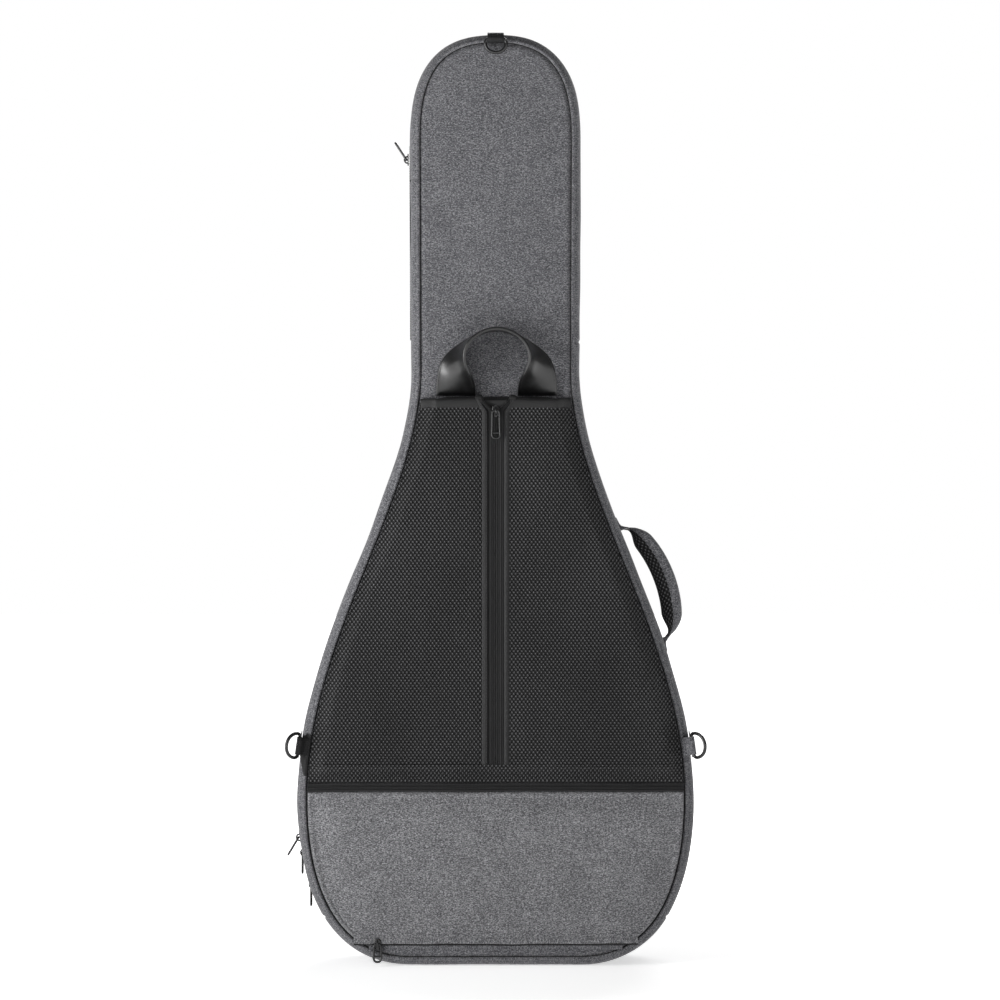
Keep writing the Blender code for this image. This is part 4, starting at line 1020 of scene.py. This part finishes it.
# ---------------------------------------------------------------- lower pocket and its zip
def pillow(name, node_name, body, heights, half_of, lift, ramp_x, ramp_z, face, way, thick, mat, slot,
           seed, columns=54):
    """A soft pocket panel that rises from its seams, with a turned edge all round."""
    rows = []
    for height in heights:
        rim = float(half_of(height))
        near = np.array([0.0, 0.0006, 0.0014, 0.0026, 0.0042, 0.0065, 0.010])
        right = np.concatenate([rim - near, np.linspace(rim - 0.014, 0.0, columns // 2)])
        rows.append(np.concatenate([right, -right[-2::-1]]))
    x = np.array(rows)
    z = np.repeat(np.asarray(heights)[:, None], x.shape[1], axis=1)
    rim = np.array([float(half_of(h)) for h in heights])[:, None]
    side_gap = rim - np.abs(x)
    low_gap, high_gap = z - heights[0], heights[-1] - z
    rise = lift * smooth(side_gap / ramp_x) * smooth(low_gap / ramp_z) * smooth(high_gap / ramp_z)
    gap = np.minimum(np.minimum(side_gap, low_gap), high_gap)
    edge = (0.0012 * np.exp(-((gap - 0.0030) / 0.0022) ** 2)
            - 0.0009 * np.exp(-((gap - 0.0068) / 0.0016) ** 2))
    rise = rise + edge + 0.0012 * ripple(x, z, seed, 0.11) * smooth(gap / 0.03)
    turned = np.clip(gap / 0.0012, 0.0, 1.0)
    skin = thick * (0.35 + 0.65 * np.sqrt(turned))
    outer = xyz(x, face(z) + way * (GAP + rise + skin), z)
    inner = xyz(x, face(z) + way * (GAP + np.maximum(rise - 0.0004, 0.0)), z)
    piece = slab(name, outer, inner, np.stack([x, z], axis=-1), [mat, LINING], body, inner_slot=1)
    return finish_piece(piece, slot, node_name)


def spaced(low, high, near=(0.0, 0.0006, 0.0014, 0.0026, 0.0042, 0.0065, 0.010, 0.015), pitch=0.006):
    near = np.array(near)
    middle = np.arange(low + near[-1] + pitch, high - near[-1] - pitch / 2, pitch)
    return np.concatenate([low + near, middle, (high - near)[::-1]])


pillow("lower_pocket_cloth", "lower_pocket", "bag_back", spaced(0.0330, 0.2035),
       lambda z: half_at(z, -MESH_EDGE_INSET), 0.0070, 0.040, 0.030, back_y, -1.0,
       0.0025, LIGHT, "woven_light", 81, columns=80)


HEM_Z = 0.0312


def lower_hem():
    """The hem that hangs over the lower pocket's zip, with a dark rod under its edge as painted shadow.
    """
    x = np.linspace(-0.166, 0.166, 110)
    dz = np.array([0.0044, 0.0020, -0.0010, -0.0030, -0.0042, -0.0046])
    dy = np.array([0.0006, 0.0028, 0.0034, 0.0036, 0.0033, 0.0026])
    taper = 0.35 + 0.65 * smooth((0.166 - np.abs(x)) / 0.012)
    sway = 0.0005 * ripple(x, x, 83, 0.08)
    face = BACK_Y - GAP
    rings = [xyz(x, face - y * taper - 0.0003 * ripple(x, x, 82, 0.04), HEM_Z + z + sway)
             for z, y in zip(dz, dy)]
    rings += [xyz(x, face - np.maximum(y - 0.0010, 0.0) * taper, HEM_Z + 0.0003 + z + sway)
              for z, y in zip(dz[::-1], dy[::-1])]
    # A dark rod just under the hem edge: painted shadow cast by the hem.
    shade = rod_rings(xyz(x, face - 0.0022, HEM_Z - 0.0052 + sway), (0.0, 0.0, 1.0), 0.0008, 6)
    piece = joined("lower_hem", [(tube_parts(np.stack(rings, axis=1)), 0), (tube_parts(shade), 1)],
                   [LIGHT, PAINTED_SHADE], "bag_back")
    edge = float(half_at(0.048, -MESH_EDGE_INSET))
    rise = 0.0070 * float(smooth(np.array(0.5))) * smooth((edge - np.abs(x)) / 0.040)
    path = xyz(x, face - rise - 0.0025, 0.048)
    piece = stitches("hem_stitches", [(path, BACKWARD)], 0.0045, 0.0030, 0.0003, THREAD_GREY,
                     "bag_back")


lower_hem()


def flat_zip(name, node_name, body, path, across, out, length, half=0.0065, cloth=TAPE):
    """A short pocket zip along a path: tape with ribs and a row of coil teeth."""
    across, out = (np.broadcast_to(np.asarray(v, float), path.shape) for v in (across, out))
    step = lengths_along(path)
    section = [(-half, 0.0002), (-half, 0.0011), (-0.0042, 0.0012), (-0.0022, 0.0012),
               (-0.0020, 0.0004), (0.0020, 0.0004), (0.0022, 0.0012), (0.0042, 0.0012),
               (half, 0.0011), (half, 0.0002)]
    rings = np.stack([path + across * q + out * h for q, h in section], axis=1)
    tape = tube_parts(rings)
    count = int(length / 0.0020) * 4 + 1
    spots = np.linspace(0.0, step[-1], count)
    fine, fine_across, fine_out = (between(spots, step, rows) for rows in (path, across, out))
    beat = np.cos(np.arange(count) * np.pi / 2)
    wide = 0.0013 + 0.0004 * beat
    tall = 0.0018 + 0.00025 * beat
    crown = ((-1, 0.25), (-0.7, 0.9), (0.0, 1.0), (0.7, 0.9), (1, 0.25))
    coil = tube_parts(np.stack([fine + fine_across * (wide * a)[:, None]
                                + fine_out * (tall * b)[:, None] for a, b in crown], axis=1))
    piece = joined(name, [(tape, 0), (coil, 1)], [cloth, COIL], body)
    return finish_piece(piece, "zip_black", node_name)


LOWER_ZIP_HALF, LOWER_ZIP_Z = 0.148, 0.026
flat_zip("lower_zip", "lower_pocket_zip", "bag_back",
         xyz(np.linspace(-LOWER_ZIP_HALF, LOWER_ZIP_HALF, 60), BACK_Y - GAP, LOWER_ZIP_Z),
         (0.0, 0.0, 1.0), BACKWARD, 2 * LOWER_ZIP_HALF, cloth=GREY)


def gusset_zip(name, node_name, low, high, y):
    s = np.linspace(arc_at(high, -1), arc_at(low, -1), 60)
    return flat_zip(name, node_name, "lid", outline_point(s, 0.0007, y), (0.0, 1.0, 0.0),
                    outward_at(s), abs(arc_at(high, -1) - arc_at(low, -1)), half=0.006)


NECK_ZIP_Y, FRONT_ZIP_Y = 0.0265, 0.0400
gusset_zip("neck_zip_band", "neck_pocket_zip", 0.735, 0.966, NECK_ZIP_Y)
gusset_zip("front_zip_band", "front_pocket_zip", 0.128, 0.430, FRONT_ZIP_Y)


# ---------------------------------------------------------------- pockets on the lid
FRONT_POCKET_Z, NECK_POCKET_Z = (0.045, 0.500), (0.600, 0.930)


def front_pocket_half(z):
    return half_at(z, -0.034)


def neck_pocket_half(z):
    return 0.072 + 0.0 * z


pillow("front_pocket_cloth", "front_pocket", "lid", spaced(*FRONT_POCKET_Z, pitch=0.008),
       front_pocket_half, 0.022, 0.024, 0.024, front_y, 1.0, 0.003, GREY, "woven_grey", 91,
       columns=64)
pillow("neck_pocket_cloth", "neck_pocket", "lid", spaced(*NECK_POCKET_Z, pitch=0.008),
       neck_pocket_half, 0.012, 0.018, 0.018, front_y, 1.0, 0.003, GREY, "woven_grey", 92,
       columns=40)


def pocket_edge(name, outline):
    """Black binding sewn round a lid pocket."""
    x, z = outline[:, 0], outline[:, 1]
    rings = rod_rings(xyz(x, front_y(z) + 0.0022, z), (0.0, 1.0, 0.0), 0.0021, 8, closed=True)
    piece = tube(name, rings, [BINDING], "lid", closed=True)


def rounded_outline(heights, half_of, out=0.0012):
    """A pocket's outline moved outwards, with its corners smoothed."""
    zs = np.linspace(heights[0], heights[1], 110)
    right = np.stack([half_of(zs) + out, zs], axis=-1)
    top = np.stack([np.linspace(right[-1, 0], -right[-1, 0], 40)[1:-1],
                    np.full(38, heights[1] + out)], axis=-1)
    bottom = np.stack([np.linspace(-right[0, 0], right[0, 0], 60)[1:-1],
                       np.full(58, heights[0] - out)], axis=-1)
    ring = np.vstack([right, top, right[::-1] * (-1.0, 1.0), bottom])
    for _ in range(3):
        ring = 0.25 * np.roll(ring, 1, axis=0) + 0.5 * ring + 0.25 * np.roll(ring, -1, axis=0)
    return ring


pocket_edge("front_pocket_binding", rounded_outline(FRONT_POCKET_Z, front_pocket_half))
pocket_edge("neck_pocket_binding", rounded_outline(NECK_POCKET_Z, neck_pocket_half))


# ---------------------------------------------------------------- haul loop
LOOP_FOOT_Z, LOOP_CROWN_Z = 0.6665, 0.7430


def haul_loop():
    """The band loop: it rises from two legs and turns to face the carrier at its crown."""
    steps = 96
    centre_x, leg_x, width, thick = 0.001, 0.0475, 0.046, 0.004
    share = np.linspace(0.0, 1.0, steps + 1)
    angle = np.pi * (1.0 - share)
    lift = np.sin(angle)
    bow = 1.0 + 0.12 * np.sin(2 * angle) ** 2
    turn = np.sin(np.clip(lift, 0.0, 1.0) * np.pi / 2) * np.pi / 2
    rise = (LOOP_CROWN_Z - LOOP_FOOT_Z) * np.maximum(lift, 0.0) ** 0.8
    path = xyz(centre_x + leg_x * np.cos(angle) * bow, BACK_Y - 0.0035 - 0.027 * np.sin(turn),
               LOOP_FOOT_Z - 0.0004 + rise)
    forward = unit(np.gradient(path, axis=0))
    forward[0], forward[-1] = (0, 0, 1), (0, 0, -1)
    inward = unit(xyz(forward[:, 2], 0.0, -forward[:, 0]))
    wide = inward * np.cos(turn)[:, None] + BACKWARD * np.sin(turn)[:, None]
    wide = unit(wide - forward * (wide * forward).sum(axis=1)[:, None])
    normal = np.cross(forward, wide)
    half = width / 2
    deep = np.full(steps + 1, thick / 2)
    deep[0] = deep[-1] = 0.0009
    section = [(-1.0, -0.35), (-0.985, -0.85), (-0.95, -1.0), (-0.90, -0.82), (-0.86, -0.74),
               (-0.5, -0.80), (0.0, -0.85), (0.5, -0.80), (0.86, -0.74), (0.90, -0.82), (0.95, -1.0),
               (0.985, -0.85), (1.0, -0.35), (1.0, 0.35), (0.985, 0.85), (0.95, 1.0), (0.90, 0.82),
               (0.86, 0.74), (0.5, 0.80), (0.0, 0.85), (-0.5, 0.80), (-0.86, 0.74), (-0.90, 0.82),
               (-0.95, 1.0), (-0.985, 0.85), (-1.0, 0.35)]
    rings = np.stack([path + wide * (half * a) + normal * (deep * b)[:, None]
                      for a, b in section], axis=1)
    piece = tube("haul_loop_band", rings, [LEATHER], "haul_loop", sharp=70.0)
    finish_piece(piece, "leather_black", "haul_loop")
    paths = []
    for a in (-0.88, 0.88):
        for b in (-1.0, 1.0):
            line_at = path + wide * (half * a) + normal * (deep * b * 0.80)[:, None]
            paths.append((line_at[3:steps - 2], (normal * b)[3:steps - 2]))
    row = stitches("loop_stitches", paths, 0.0042, 0.0030, 0.00030, THREAD, "haul_loop")


haul_loop()


def rounded_box(name, node_name, low, high, radius, mat, slot, body, axis=1):
    """A pad or patch with rounded edges, built from shrinking rounded rings along an axis."""
    low, high = np.array(low), np.array(high)
    a, b = [k for k in range(3) if k != axis]
    centre = (low + high) / 2
    size = (high - low) / 2
    rings = []
    for depth in np.linspace(0.0, 1.0, 9):
        t = depth * 2 - 1
        edge = min(radius, size[axis])
        gap = size[axis] * (1 - abs(t))
        inset = edge - math.sqrt(max(0.0, edge ** 2 - max(0.0, edge - gap) ** 2)) if gap < edge else 0.0
        ring = []
        for angle in np.linspace(0.0, 2 * np.pi, 40, endpoint=False):
            point = np.zeros(3)
            point[axis] = centre[axis] + size[axis] * t
            point[a] = centre[a] + bent(math.cos(angle), 0.28) * (size[a] - inset)
            point[b] = centre[b] + bent(math.sin(angle), 0.28) * (size[b] - inset)
            ring.append(point)
        rings.append(ring)
    piece = tube(name, rings, [mat], body)
    return finish_piece(piece, slot, node_name)


low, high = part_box("haul_anchor")
rounded_box("loop_patch", "haul_anchor", low, high, 0.002, WEB, "black_webbing", "bag_back")


# ---------------------------------------------------------------- stowed shoulder straps
def strap(side, word):
    """A folded shoulder strap in the mesh pocket, and the hook at its lower end."""
    centre = side * 0.040
    rows = np.array([(0.262, 0.013), (0.268, 0.0195), (0.275, 0.024), (0.287, 0.0268), (0.300, 0.028)])
    z = np.concatenate([rows[:, 0], np.linspace(0.31, 0.585, 46), [0.590, 0.603, 0.615, 0.621, 0.625]])
    half = np.concatenate([rows[:, 1], np.full(46, 0.028), [0.028, 0.0262, 0.024, 0.0212, 0.018]])
    turn = np.linspace(0.0, 2 * np.pi, 30, endpoint=False)
    cross_x = np.sign(np.cos(turn)) * np.abs(np.cos(turn)) ** 0.45
    cross_y = np.sign(np.sin(turn)) * np.abs(np.sin(turn)) ** 0.75
    thick = 0.0056 + 0.0003 * ripple(z, z, 101, 0.05)
    thick = thick * (0.55 + 0.45 * smooth((z - 0.262) / 0.02) * smooth((0.625 - z) / 0.02))
    channel = 1.0 - 0.18 * np.exp(-((np.abs(cross_x) - 0.80) / 0.06) ** 2)
    rings = xyz(centre + half[:, None] * cross_x * 0.985,
                BACK_Y - 0.0063 - thick[:, None] * (cross_y * channel), z[:, None])
    slots = [0 if math.sin(t + 0.1) > 0 else 1 for t in turn]
    piece = tube("strap_" + word, rings, [GREY, MESH], "bag_back", ring_slots=slots)
    finish_piece(piece, "woven_grey", "strap_pad_" + word)
    turn = np.linspace(0.0, 2 * np.pi, 36, endpoint=False)
    path = xyz(centre + 0.008 * np.cos(turn), BACK_Y - 0.0065, 0.2475 + 0.012 * np.sin(turn))
    hook = tube("hook_" + word, rod_rings(path, (0.0, 1.0, 0.0), 0.0019, 12, closed=True),
                [METAL], "bag_back", closed=True)
    finish_piece(hook, "black_metal", "strap_hook_" + word)


strap(-1, "left")
strap(1, "right")


# ---------------------------------------------------------------- rings and tabs
def d_ring(name, node_name, centre, bar, reach, half, depth, body):
    """A wire D-ring: a straight bar and a bow that reaches out from it."""
    centre, bar, reach = (np.array(v, float) for v in (centre, bar, reach))
    plane = np.cross(bar, reach)
    steps = 40
    angle = np.pi * np.arange(steps + 1) / steps
    bow = centre + bar * (half * np.cos(angle))[:, None] + reach * (
        0.0025 + (depth - 0.0025) * np.maximum(np.sin(angle), 0.0) ** 0.8)[:, None]
    straight = centre + bar * np.linspace(-half + 0.0025, half - 0.0025, 14)[:, None]
    path = np.vstack([straight, bow])
    for _ in range(2):
        path = 0.25 * np.roll(path, 1, axis=0) + 0.5 * path + 0.25 * np.roll(path, -1, axis=0)
    rings = rod_rings(path, plane, 0.0020, 12, closed=True)
    piece = tube(name, rings, [METAL], body, closed=True)
    finish_piece(piece, "black_metal", node_name)


def ribbon(name, node_name, path, across, half, thick, body, mat, slot):
    """A webbing tab along a path, with thicker edges."""
    curve = catmull(path, 6)
    widths = np.interp(np.linspace(0.0, 1.0, len(curve)), np.linspace(0.0, 1.0, len(half)), half)
    across = np.array(across, float)
    normal = unit(np.cross(unit(np.gradient(curve, axis=0)), across))
    section = [(-1.0, -0.5), (-0.97, -1.0), (-0.5, -0.9), (0.0, -1.0), (0.5, -0.9), (0.97, -1.0),
               (1.0, -0.5), (1.0, 0.5), (0.97, 1.0), (0.5, 0.9), (0.0, 1.0), (-0.5, 0.9), (-0.97, 1.0),
               (-1.0, 0.5)]
    rings = np.stack([curve + across * (widths * a)[:, None] + normal * (thick / 2 * b)
                      for a, b in section], axis=1)
    piece = tube(name, rings, [mat], body)
    return finish_piece(piece, slot, node_name)


for side, word in ((-1, "left"), (1, "right")):
    point, normal = along(np.array([arc_at(0.2575, side)]))
    foot = np.array((point[0, 0], 0.0, point[0, 1]))
    out = np.array((normal[0, 0], 0.0, normal[0, 1]))
    up = np.array((-normal[0, 1] * side, 0.0, normal[0, 0] * side))
    bar_at = foot + out * 0.0020 + np.array((0.0, BACK_Y - 0.0050, 0.0))
    reach = (out + BACKWARD) / math.sqrt(2.0)
    d_ring("ring_" + word, "side_ring_" + word, bar_at, up, reach, 0.0145, 0.020, "side_ring_" + word)
    wrap = 0.0020 + 0.0004 + 0.0006
    path = [foot + out * 0.0020 + (0.0, BACK_Y + 0.024, 0.0),
            foot + out * 0.0019 + (0.0, BACK_Y + 0.012, 0.0),
            foot + out * 0.0033 + (0.0, BACK_Y + 0.0025, 0.0)]
    for degrees in (-15, 15, 45, 75, 105, 135):
        angle = math.radians(degrees)
        path.append(bar_at + out * (wrap * math.cos(angle)) + BACKWARD * (wrap * math.sin(angle)))
    path.append(foot + out * -0.0040 + (0.0, BACK_Y - 0.0034, 0.0))
    path.append(foot + out * -0.0088 + (0.0, BACK_Y - 0.0012, 0.0))
    # The left tab is black webbing and the right one grey cloth: the left tab's black is painted shade
    # on a tab made like the right one.
    mat, slot = (WEB, "black_webbing") if side < 0 else (GREY, "woven_grey")
    ribbon("tab_" + word, "side_tab_" + word, path, up, [0.016, 0.013] + [0.0105] * 9, 0.0012,
           "bag_back", mat, slot)


PATCH_LOW_Z, PATCH_HIGH_Z = 0.2230, 0.2720


def ring_patch():
    """Smooth triangle patch sewn over the gusset under the left ring; its black webbing colour is
    painted shade.
    """
    t = np.linspace(0.0, 1.0, 15)
    first, last = arc_at(PATCH_HIGH_Z, -1), arc_at(PATCH_LOW_Z, -1)
    s = first + (last - first) * t
    limit = np.interp(t, (0.0, 0.12, 0.42, 1.0), (-0.0060, 0.0004, 0.0006, -0.0080))
    off = -0.0118 + (limit + 0.0118)[:, None] * np.linspace(0.0, 1.0, 9)
    deep = np.interp(off, (-0.0118, -0.0085, -0.0060, -0.0030, -0.0007, 0.0006),
                     (0.0000, -0.0004, 0.0018, 0.0052, 0.0105, 0.0170))
    outer, inner = (np.stack([outline_point(s, off[:, k] + lift, BACK_Y + deep[:, k] - lift)
                              for k in range(9)], axis=1) for lift in (0.0012, 0.0004))
    uv = np.stack([np.repeat(s[:, None], 9, axis=1), off], axis=-1)
    slab("patch_left_painted_shade", outer, inner, uv, [WEB], "bag_back")


ring_patch()
top_bar = np.array((0.0, BACK_Y - 0.0065, BAG_HEIGHT - 0.0075))
d_ring("ring_top", "top_ring", top_bar, (1, 0, 0), (0, 0, -1), 0.0125, 0.016, "top_ring")
path = [np.array((0.0, BACK_Y + q, BAG_HEIGHT + h)) for q, h in
        ((0.034, 0.0016), (0.018, 0.0016), (0.008, 0.0006), (-0.0005, -0.0016))]
for degrees in (70, 100, 140, 180, 220, 260):
    angle = math.radians(degrees)
    path.append(top_bar + np.array((0.0, 0.0030 * math.cos(angle), 0.0030 * math.sin(angle))))
path.append(np.array((0.0, BACK_Y - 0.0016, top_bar[2] - 0.0035)))
ribbon("tab_top", "top_ring_tab", path, (1, 0, 0), [0.0095] * 5, 0.0014, "bag_back", WEB,
       "black_webbing")


# ---------------------------------------------------------------- padded side handle
def side_frame(z):
    point, _ = along(np.array([arc_at(z, 1)]))
    return np.array((point[0, 0], 0.0, point[0, 1]))


upper_end, lower_end = side_frame(0.513), side_frame(0.376)
handle_mid = (upper_end + lower_end) / 2
handle_along = unit(lower_end - upper_end)
handle_out = np.array((-handle_along[2], 0.0, handle_along[0]))
handle_half = float(np.linalg.norm(lower_end - upper_end)) / 2
handle_end = handle_half - 0.006
HANDLE_Y = -0.024


def handle_point(s, n, w):
    return (handle_mid + handle_along * np.asarray(s)[..., None] + handle_out * np.asarray(n)[..., None]
            + np.array((0.0, 1.0, 0.0)) * (HANDLE_Y + np.asarray(w))[..., None])


def handle():
    """The side handle: a mesh cushion inside, a grey cover outside, and the seams between."""
    s = np.linspace(-handle_end, handle_end, 61)
    share = np.cos(np.pi / 2 * s / handle_end)
    swell = smooth(np.maximum(share, 0.0) ** 0.7 * 1.9)
    seam = 0.008 + (0.030 - 0.008) * np.maximum(share, 0.0) ** 0.55
    wide = 0.009 + 0.010 * swell
    inner = 0.0024 + (0.0130 - 0.0024) * smooth(share * 1.7)
    outer = 0.0050 + (0.0115 - 0.0050) * swell
    low_turn = np.linspace(0.0, np.pi, 15)
    pad = []
    for t in low_turn:
        w = bent(math.cos(t), 0.55)
        pad.append(handle_point(s, seam - 0.00015 - inner * math.sin(t) ** 0.75, wide * w))
    piece = tube("handle_cushion", np.stack(pad, axis=1), [MESH], "side_handle")
    finish_piece(piece, "air_mesh", "handle_pad")
    cover = []
    for t in low_turn:
        w = bent(math.cos(t), 0.32)
        cover.append(handle_point(s, seam + 0.00015 + outer * math.sin(t) ** 0.6, wide * w))
    piece = tube("handle_top", np.stack(cover, axis=1), [GREY], "side_handle")
    finish_piece(piece, "woven_grey", "handle_cover")
    paths = []
    for way in (-1, 1):
        path = handle_point(s[4:-4], (seam + 0.0022)[4:-4], (way * (wide + 0.0002))[4:-4])
        paths.append((path, (0.0, way, 0.0)))
    row = stitches("handle_stitches", paths, 0.0044, 0.0030, 0.0003, THREAD_GREY, "side_handle")


handle()
profile = xyz(HALF[BASE:, 0], 0.0, HALF[BASE:, 1]) - handle_mid
profile_s, profile_n = profile @ handle_along, profile @ handle_out
order = np.argsort(profile_s)


def surface_rise(s):
    """How far the bag's side stands out under the handle."""
    return np.interp(s, profile_s[order], profile_n[order])


for word, way in (("upper", -1), ("lower", 1)):
    rings = []
    for step, wide, top in ((0.0005, 0.0100, 0.0125), (0.003, 0.0112, 0.0085), (0.006, 0.0120, 0.0045),
                            (0.009, 0.0120, 0.0036), (0.012, 0.0115, 0.0032), (0.015, 0.0104, 0.0030),
                            (0.017, 0.0090, 0.0026)):
        s = way * (handle_end + step)
        base = float(surface_rise(s)) + 0.0004
        high = max(base + 0.0022, top) if step < 0.002 else base + top - 0.0010
        ring = []
        for t in np.linspace(0.0, np.pi, 13):
            w = bent(math.cos(t), 0.4)
            ring.append(handle_point(s, base + (high - base) * math.sin(t) ** 0.7, wide * w))
        rings.append(ring)
    piece = tube("handle_root_" + word, rings, [GREY], "bag_back")
    finish_piece(piece, "woven_grey", "handle_anchor_" + word)


# ---------------------------------------------------------------- zip sliders and pullers
def placed(points, origin, across, along_way, out):
    basis = np.array([across, along_way, out], float)
    return np.asarray(points) @ basis + np.asarray(origin)


def slider(name, node_name, body, origin, across, along_way, out):
    """Waisted top plate with rounded edges, and an arched bridge for the puller."""
    def plate(v):
        wide = 0.0045 - 0.0009 * smooth(-v / 0.007) + 0.0003 * math.cos(v / 0.007 * math.pi)
        return wide * math.sqrt(max(0.0, 1.0 - abs(v / 0.00705) ** 6))
    rings = []
    for v in np.linspace(-0.007, 0.007, 25):
        half = max(plate(v), 0.0006)
        rings.append([placed((half * a, v, h), origin, across, along_way, out) for a, h in
                      ((-1, 0.0), (-1, 0.0010), (-0.86, 0.0015), (-0.4, 0.0017), (0.4, 0.0017),
                       (0.86, 0.0015), (1, 0.0010), (1, 0.0))])
    body_part = tube_parts(rings)
    arc = []
    for t in np.linspace(0.0, 1.0, 19):
        v = -0.0040 + 0.0080 * t
        h = 0.0010 + 0.0042 * math.sin(math.pi * t) ** 0.35 if 0 < t < 1 else 0.0010
        arc.append(placed((0.0, v, h), origin, across, along_way, out))
    bridge = tube_parts(rod_rings(arc, across, 0.0010, 8))
    piece = joined(name, [(body_part, 0), (bridge, 0)], [METAL], body)
    return finish_piece(piece, "black_metal", node_name)


def puller(name, node_name, body, slider_origin, across, out, hang, length):
    """Slotted pull: a round loop through the bridge and a moulded grip."""
    across, out, hang = (np.array(v, float) for v in (across, out, hang))
    hang = unit(hang)
    pivot = np.asarray(slider_origin) + out * (0.0016 + 0.0014)
    normal = np.cross(across, hang)
    half = 0.0042
    shape = [(-0.0002, -half * 0.55), (-0.0002, half * 0.55), (0.0014, half * 0.95),
             (length * 0.3, half), (length * 0.6, half * 1.05), (length - 0.006, half * 1.12),
             (length - 0.0024, half * 0.95), (length - 0.0004, half * 0.45),
             (length - 0.0004, -half * 0.45), (length - 0.0024, -half * 0.95),
             (length - 0.006, -half * 1.12), (length * 0.6, -half * 1.05), (length * 0.3, -half),
             (0.0014, -half * 0.95)]
    ring = np.array([pivot + hang * d + across * w for d, w in shape])
    ring = catmull(np.vstack([ring, ring[:1]]), 6)[:-1]
    rod = tube_parts(rod_rings(ring, normal, 0.00135, 10, closed=True), closed=True)
    bar = np.array([pivot + hang * (length - 0.0065) + across * w for w in np.linspace(-half, half, 7)])
    bar_part = tube_parts(rod_rings(bar, normal, 0.0011, 8, flat=0.7))
    piece = joined(name, [(rod, 0), (bar_part, 0)], [METAL], body)
    return finish_piece(piece, "black_metal", node_name)


X, Y, Z = np.eye(3)
spot = np.array((0.0, MESH_FACE_Y - 0.0026 - GAP, MESH_TOP_Z - 0.015))
slider("slider_pocket", "pocket_slider", "pocket_slider", spot, X, Z, -Y)
puller("pull_pocket", "pocket_puller", "pocket_puller", spot, X, -Y, -Z, 0.032)
spot = np.array((-0.138, BACK_Y - GAP - 0.0012 - 0.0010 - GAP, LOWER_ZIP_Z))
slider("slider_lower", "lower_slider", "lower_slider", spot, X, Z, -Y)
puller("pull_lower", "lower_puller", "lower_puller", spot, X, -Y, -Z, 0.0205)


def side_place(z, off, y):
    """A place on the left gusset, with its outward and upward directions."""
    point, normal = along(np.array([arc_at(z, -1)]))
    out = np.array((normal[0, 0], 0.0, normal[0, 1]))
    up = np.array((normal[0, 1], 0.0, -normal[0, 0]))
    return np.array((point[0, 0], 0.0, point[0, 1])) + out * off + (0.0, y, 0.0), out, up


for word, height in (("upper", 0.126), ("lower", 0.088)):
    spot, out, up = side_place(height, -0.0003, SPLIT_Y)
    slider("slider_main_" + word, "main_slider_" + word, "bag_back", spot, Y, up, out)
    puller("pull_main_" + word, "main_puller_" + word, "main_puller_" + word, spot, Y, out, -Z, 0.024)
spot, out, up = side_place(0.950, 0.0032, NECK_ZIP_Y)
slider("slider_neck", "neck_slider", "neck_slider", spot, Y, up, out)
puller("pull_neck", "neck_puller", "neck_puller", spot, Y, out, up * 0.84 + out * 0.54, 0.024)
spot, out, up = side_place(0.142, 0.0032, FRONT_ZIP_Y)
slider("slider_front", "front_slider", "lid", spot, Y, up, out)
puller("pull_front", "front_puller", "front_puller", spot, Y, out, -up * 0.78 + out * 0.62, 0.024)


# ---------------------------------------------------------------- neck rest inside
def cradle():
    """The foam block with a notch that the guitar's neck lies in."""
    half = 0.0985 - SEAM_INSET - 2 * GAP
    y0, y1, y2 = BACK_Y + PANEL_THICK + GAP, BACK_Y + 0.034, BACK_Y + 0.062
    corners = [(-half, y0), (half, y0), (half, y2 - 0.004), (half - 0.004, y2), (0.042, y2),
               (0.036, y2 - 0.004), (0.034, y1 + 0.010), (0.028, y1 + 0.002), (0.012, y1), (-0.012, y1),
               (-0.028, y1 + 0.002), (-0.034, y1 + 0.010), (-0.036, y2 - 0.004), (-0.042, y2),
               (-half + 0.004, y2), (-half, y2 - 0.004)]
    ring = np.array(corners)
    middle = ring.mean(axis=0)
    rings = []
    for share, shrink in ((0.0, 0.965), (0.03, 0.99), (0.08, 1.0), (0.5, 1.0), (0.92, 1.0),
                          (0.97, 0.99), (1.0, 0.965)):
        shape = middle + (ring - middle) * shrink
        shape[:, 1] = np.maximum(shape[:, 1], y0)
        rings.append(xyz(shape[:, 0], shape[:, 1], 0.700 + 0.070 * share))
    piece = tube("neck_rest", rings, [LINING], "bag_back")
    finish_piece(piece, "foam_black", "neck_cradle")


cradle()
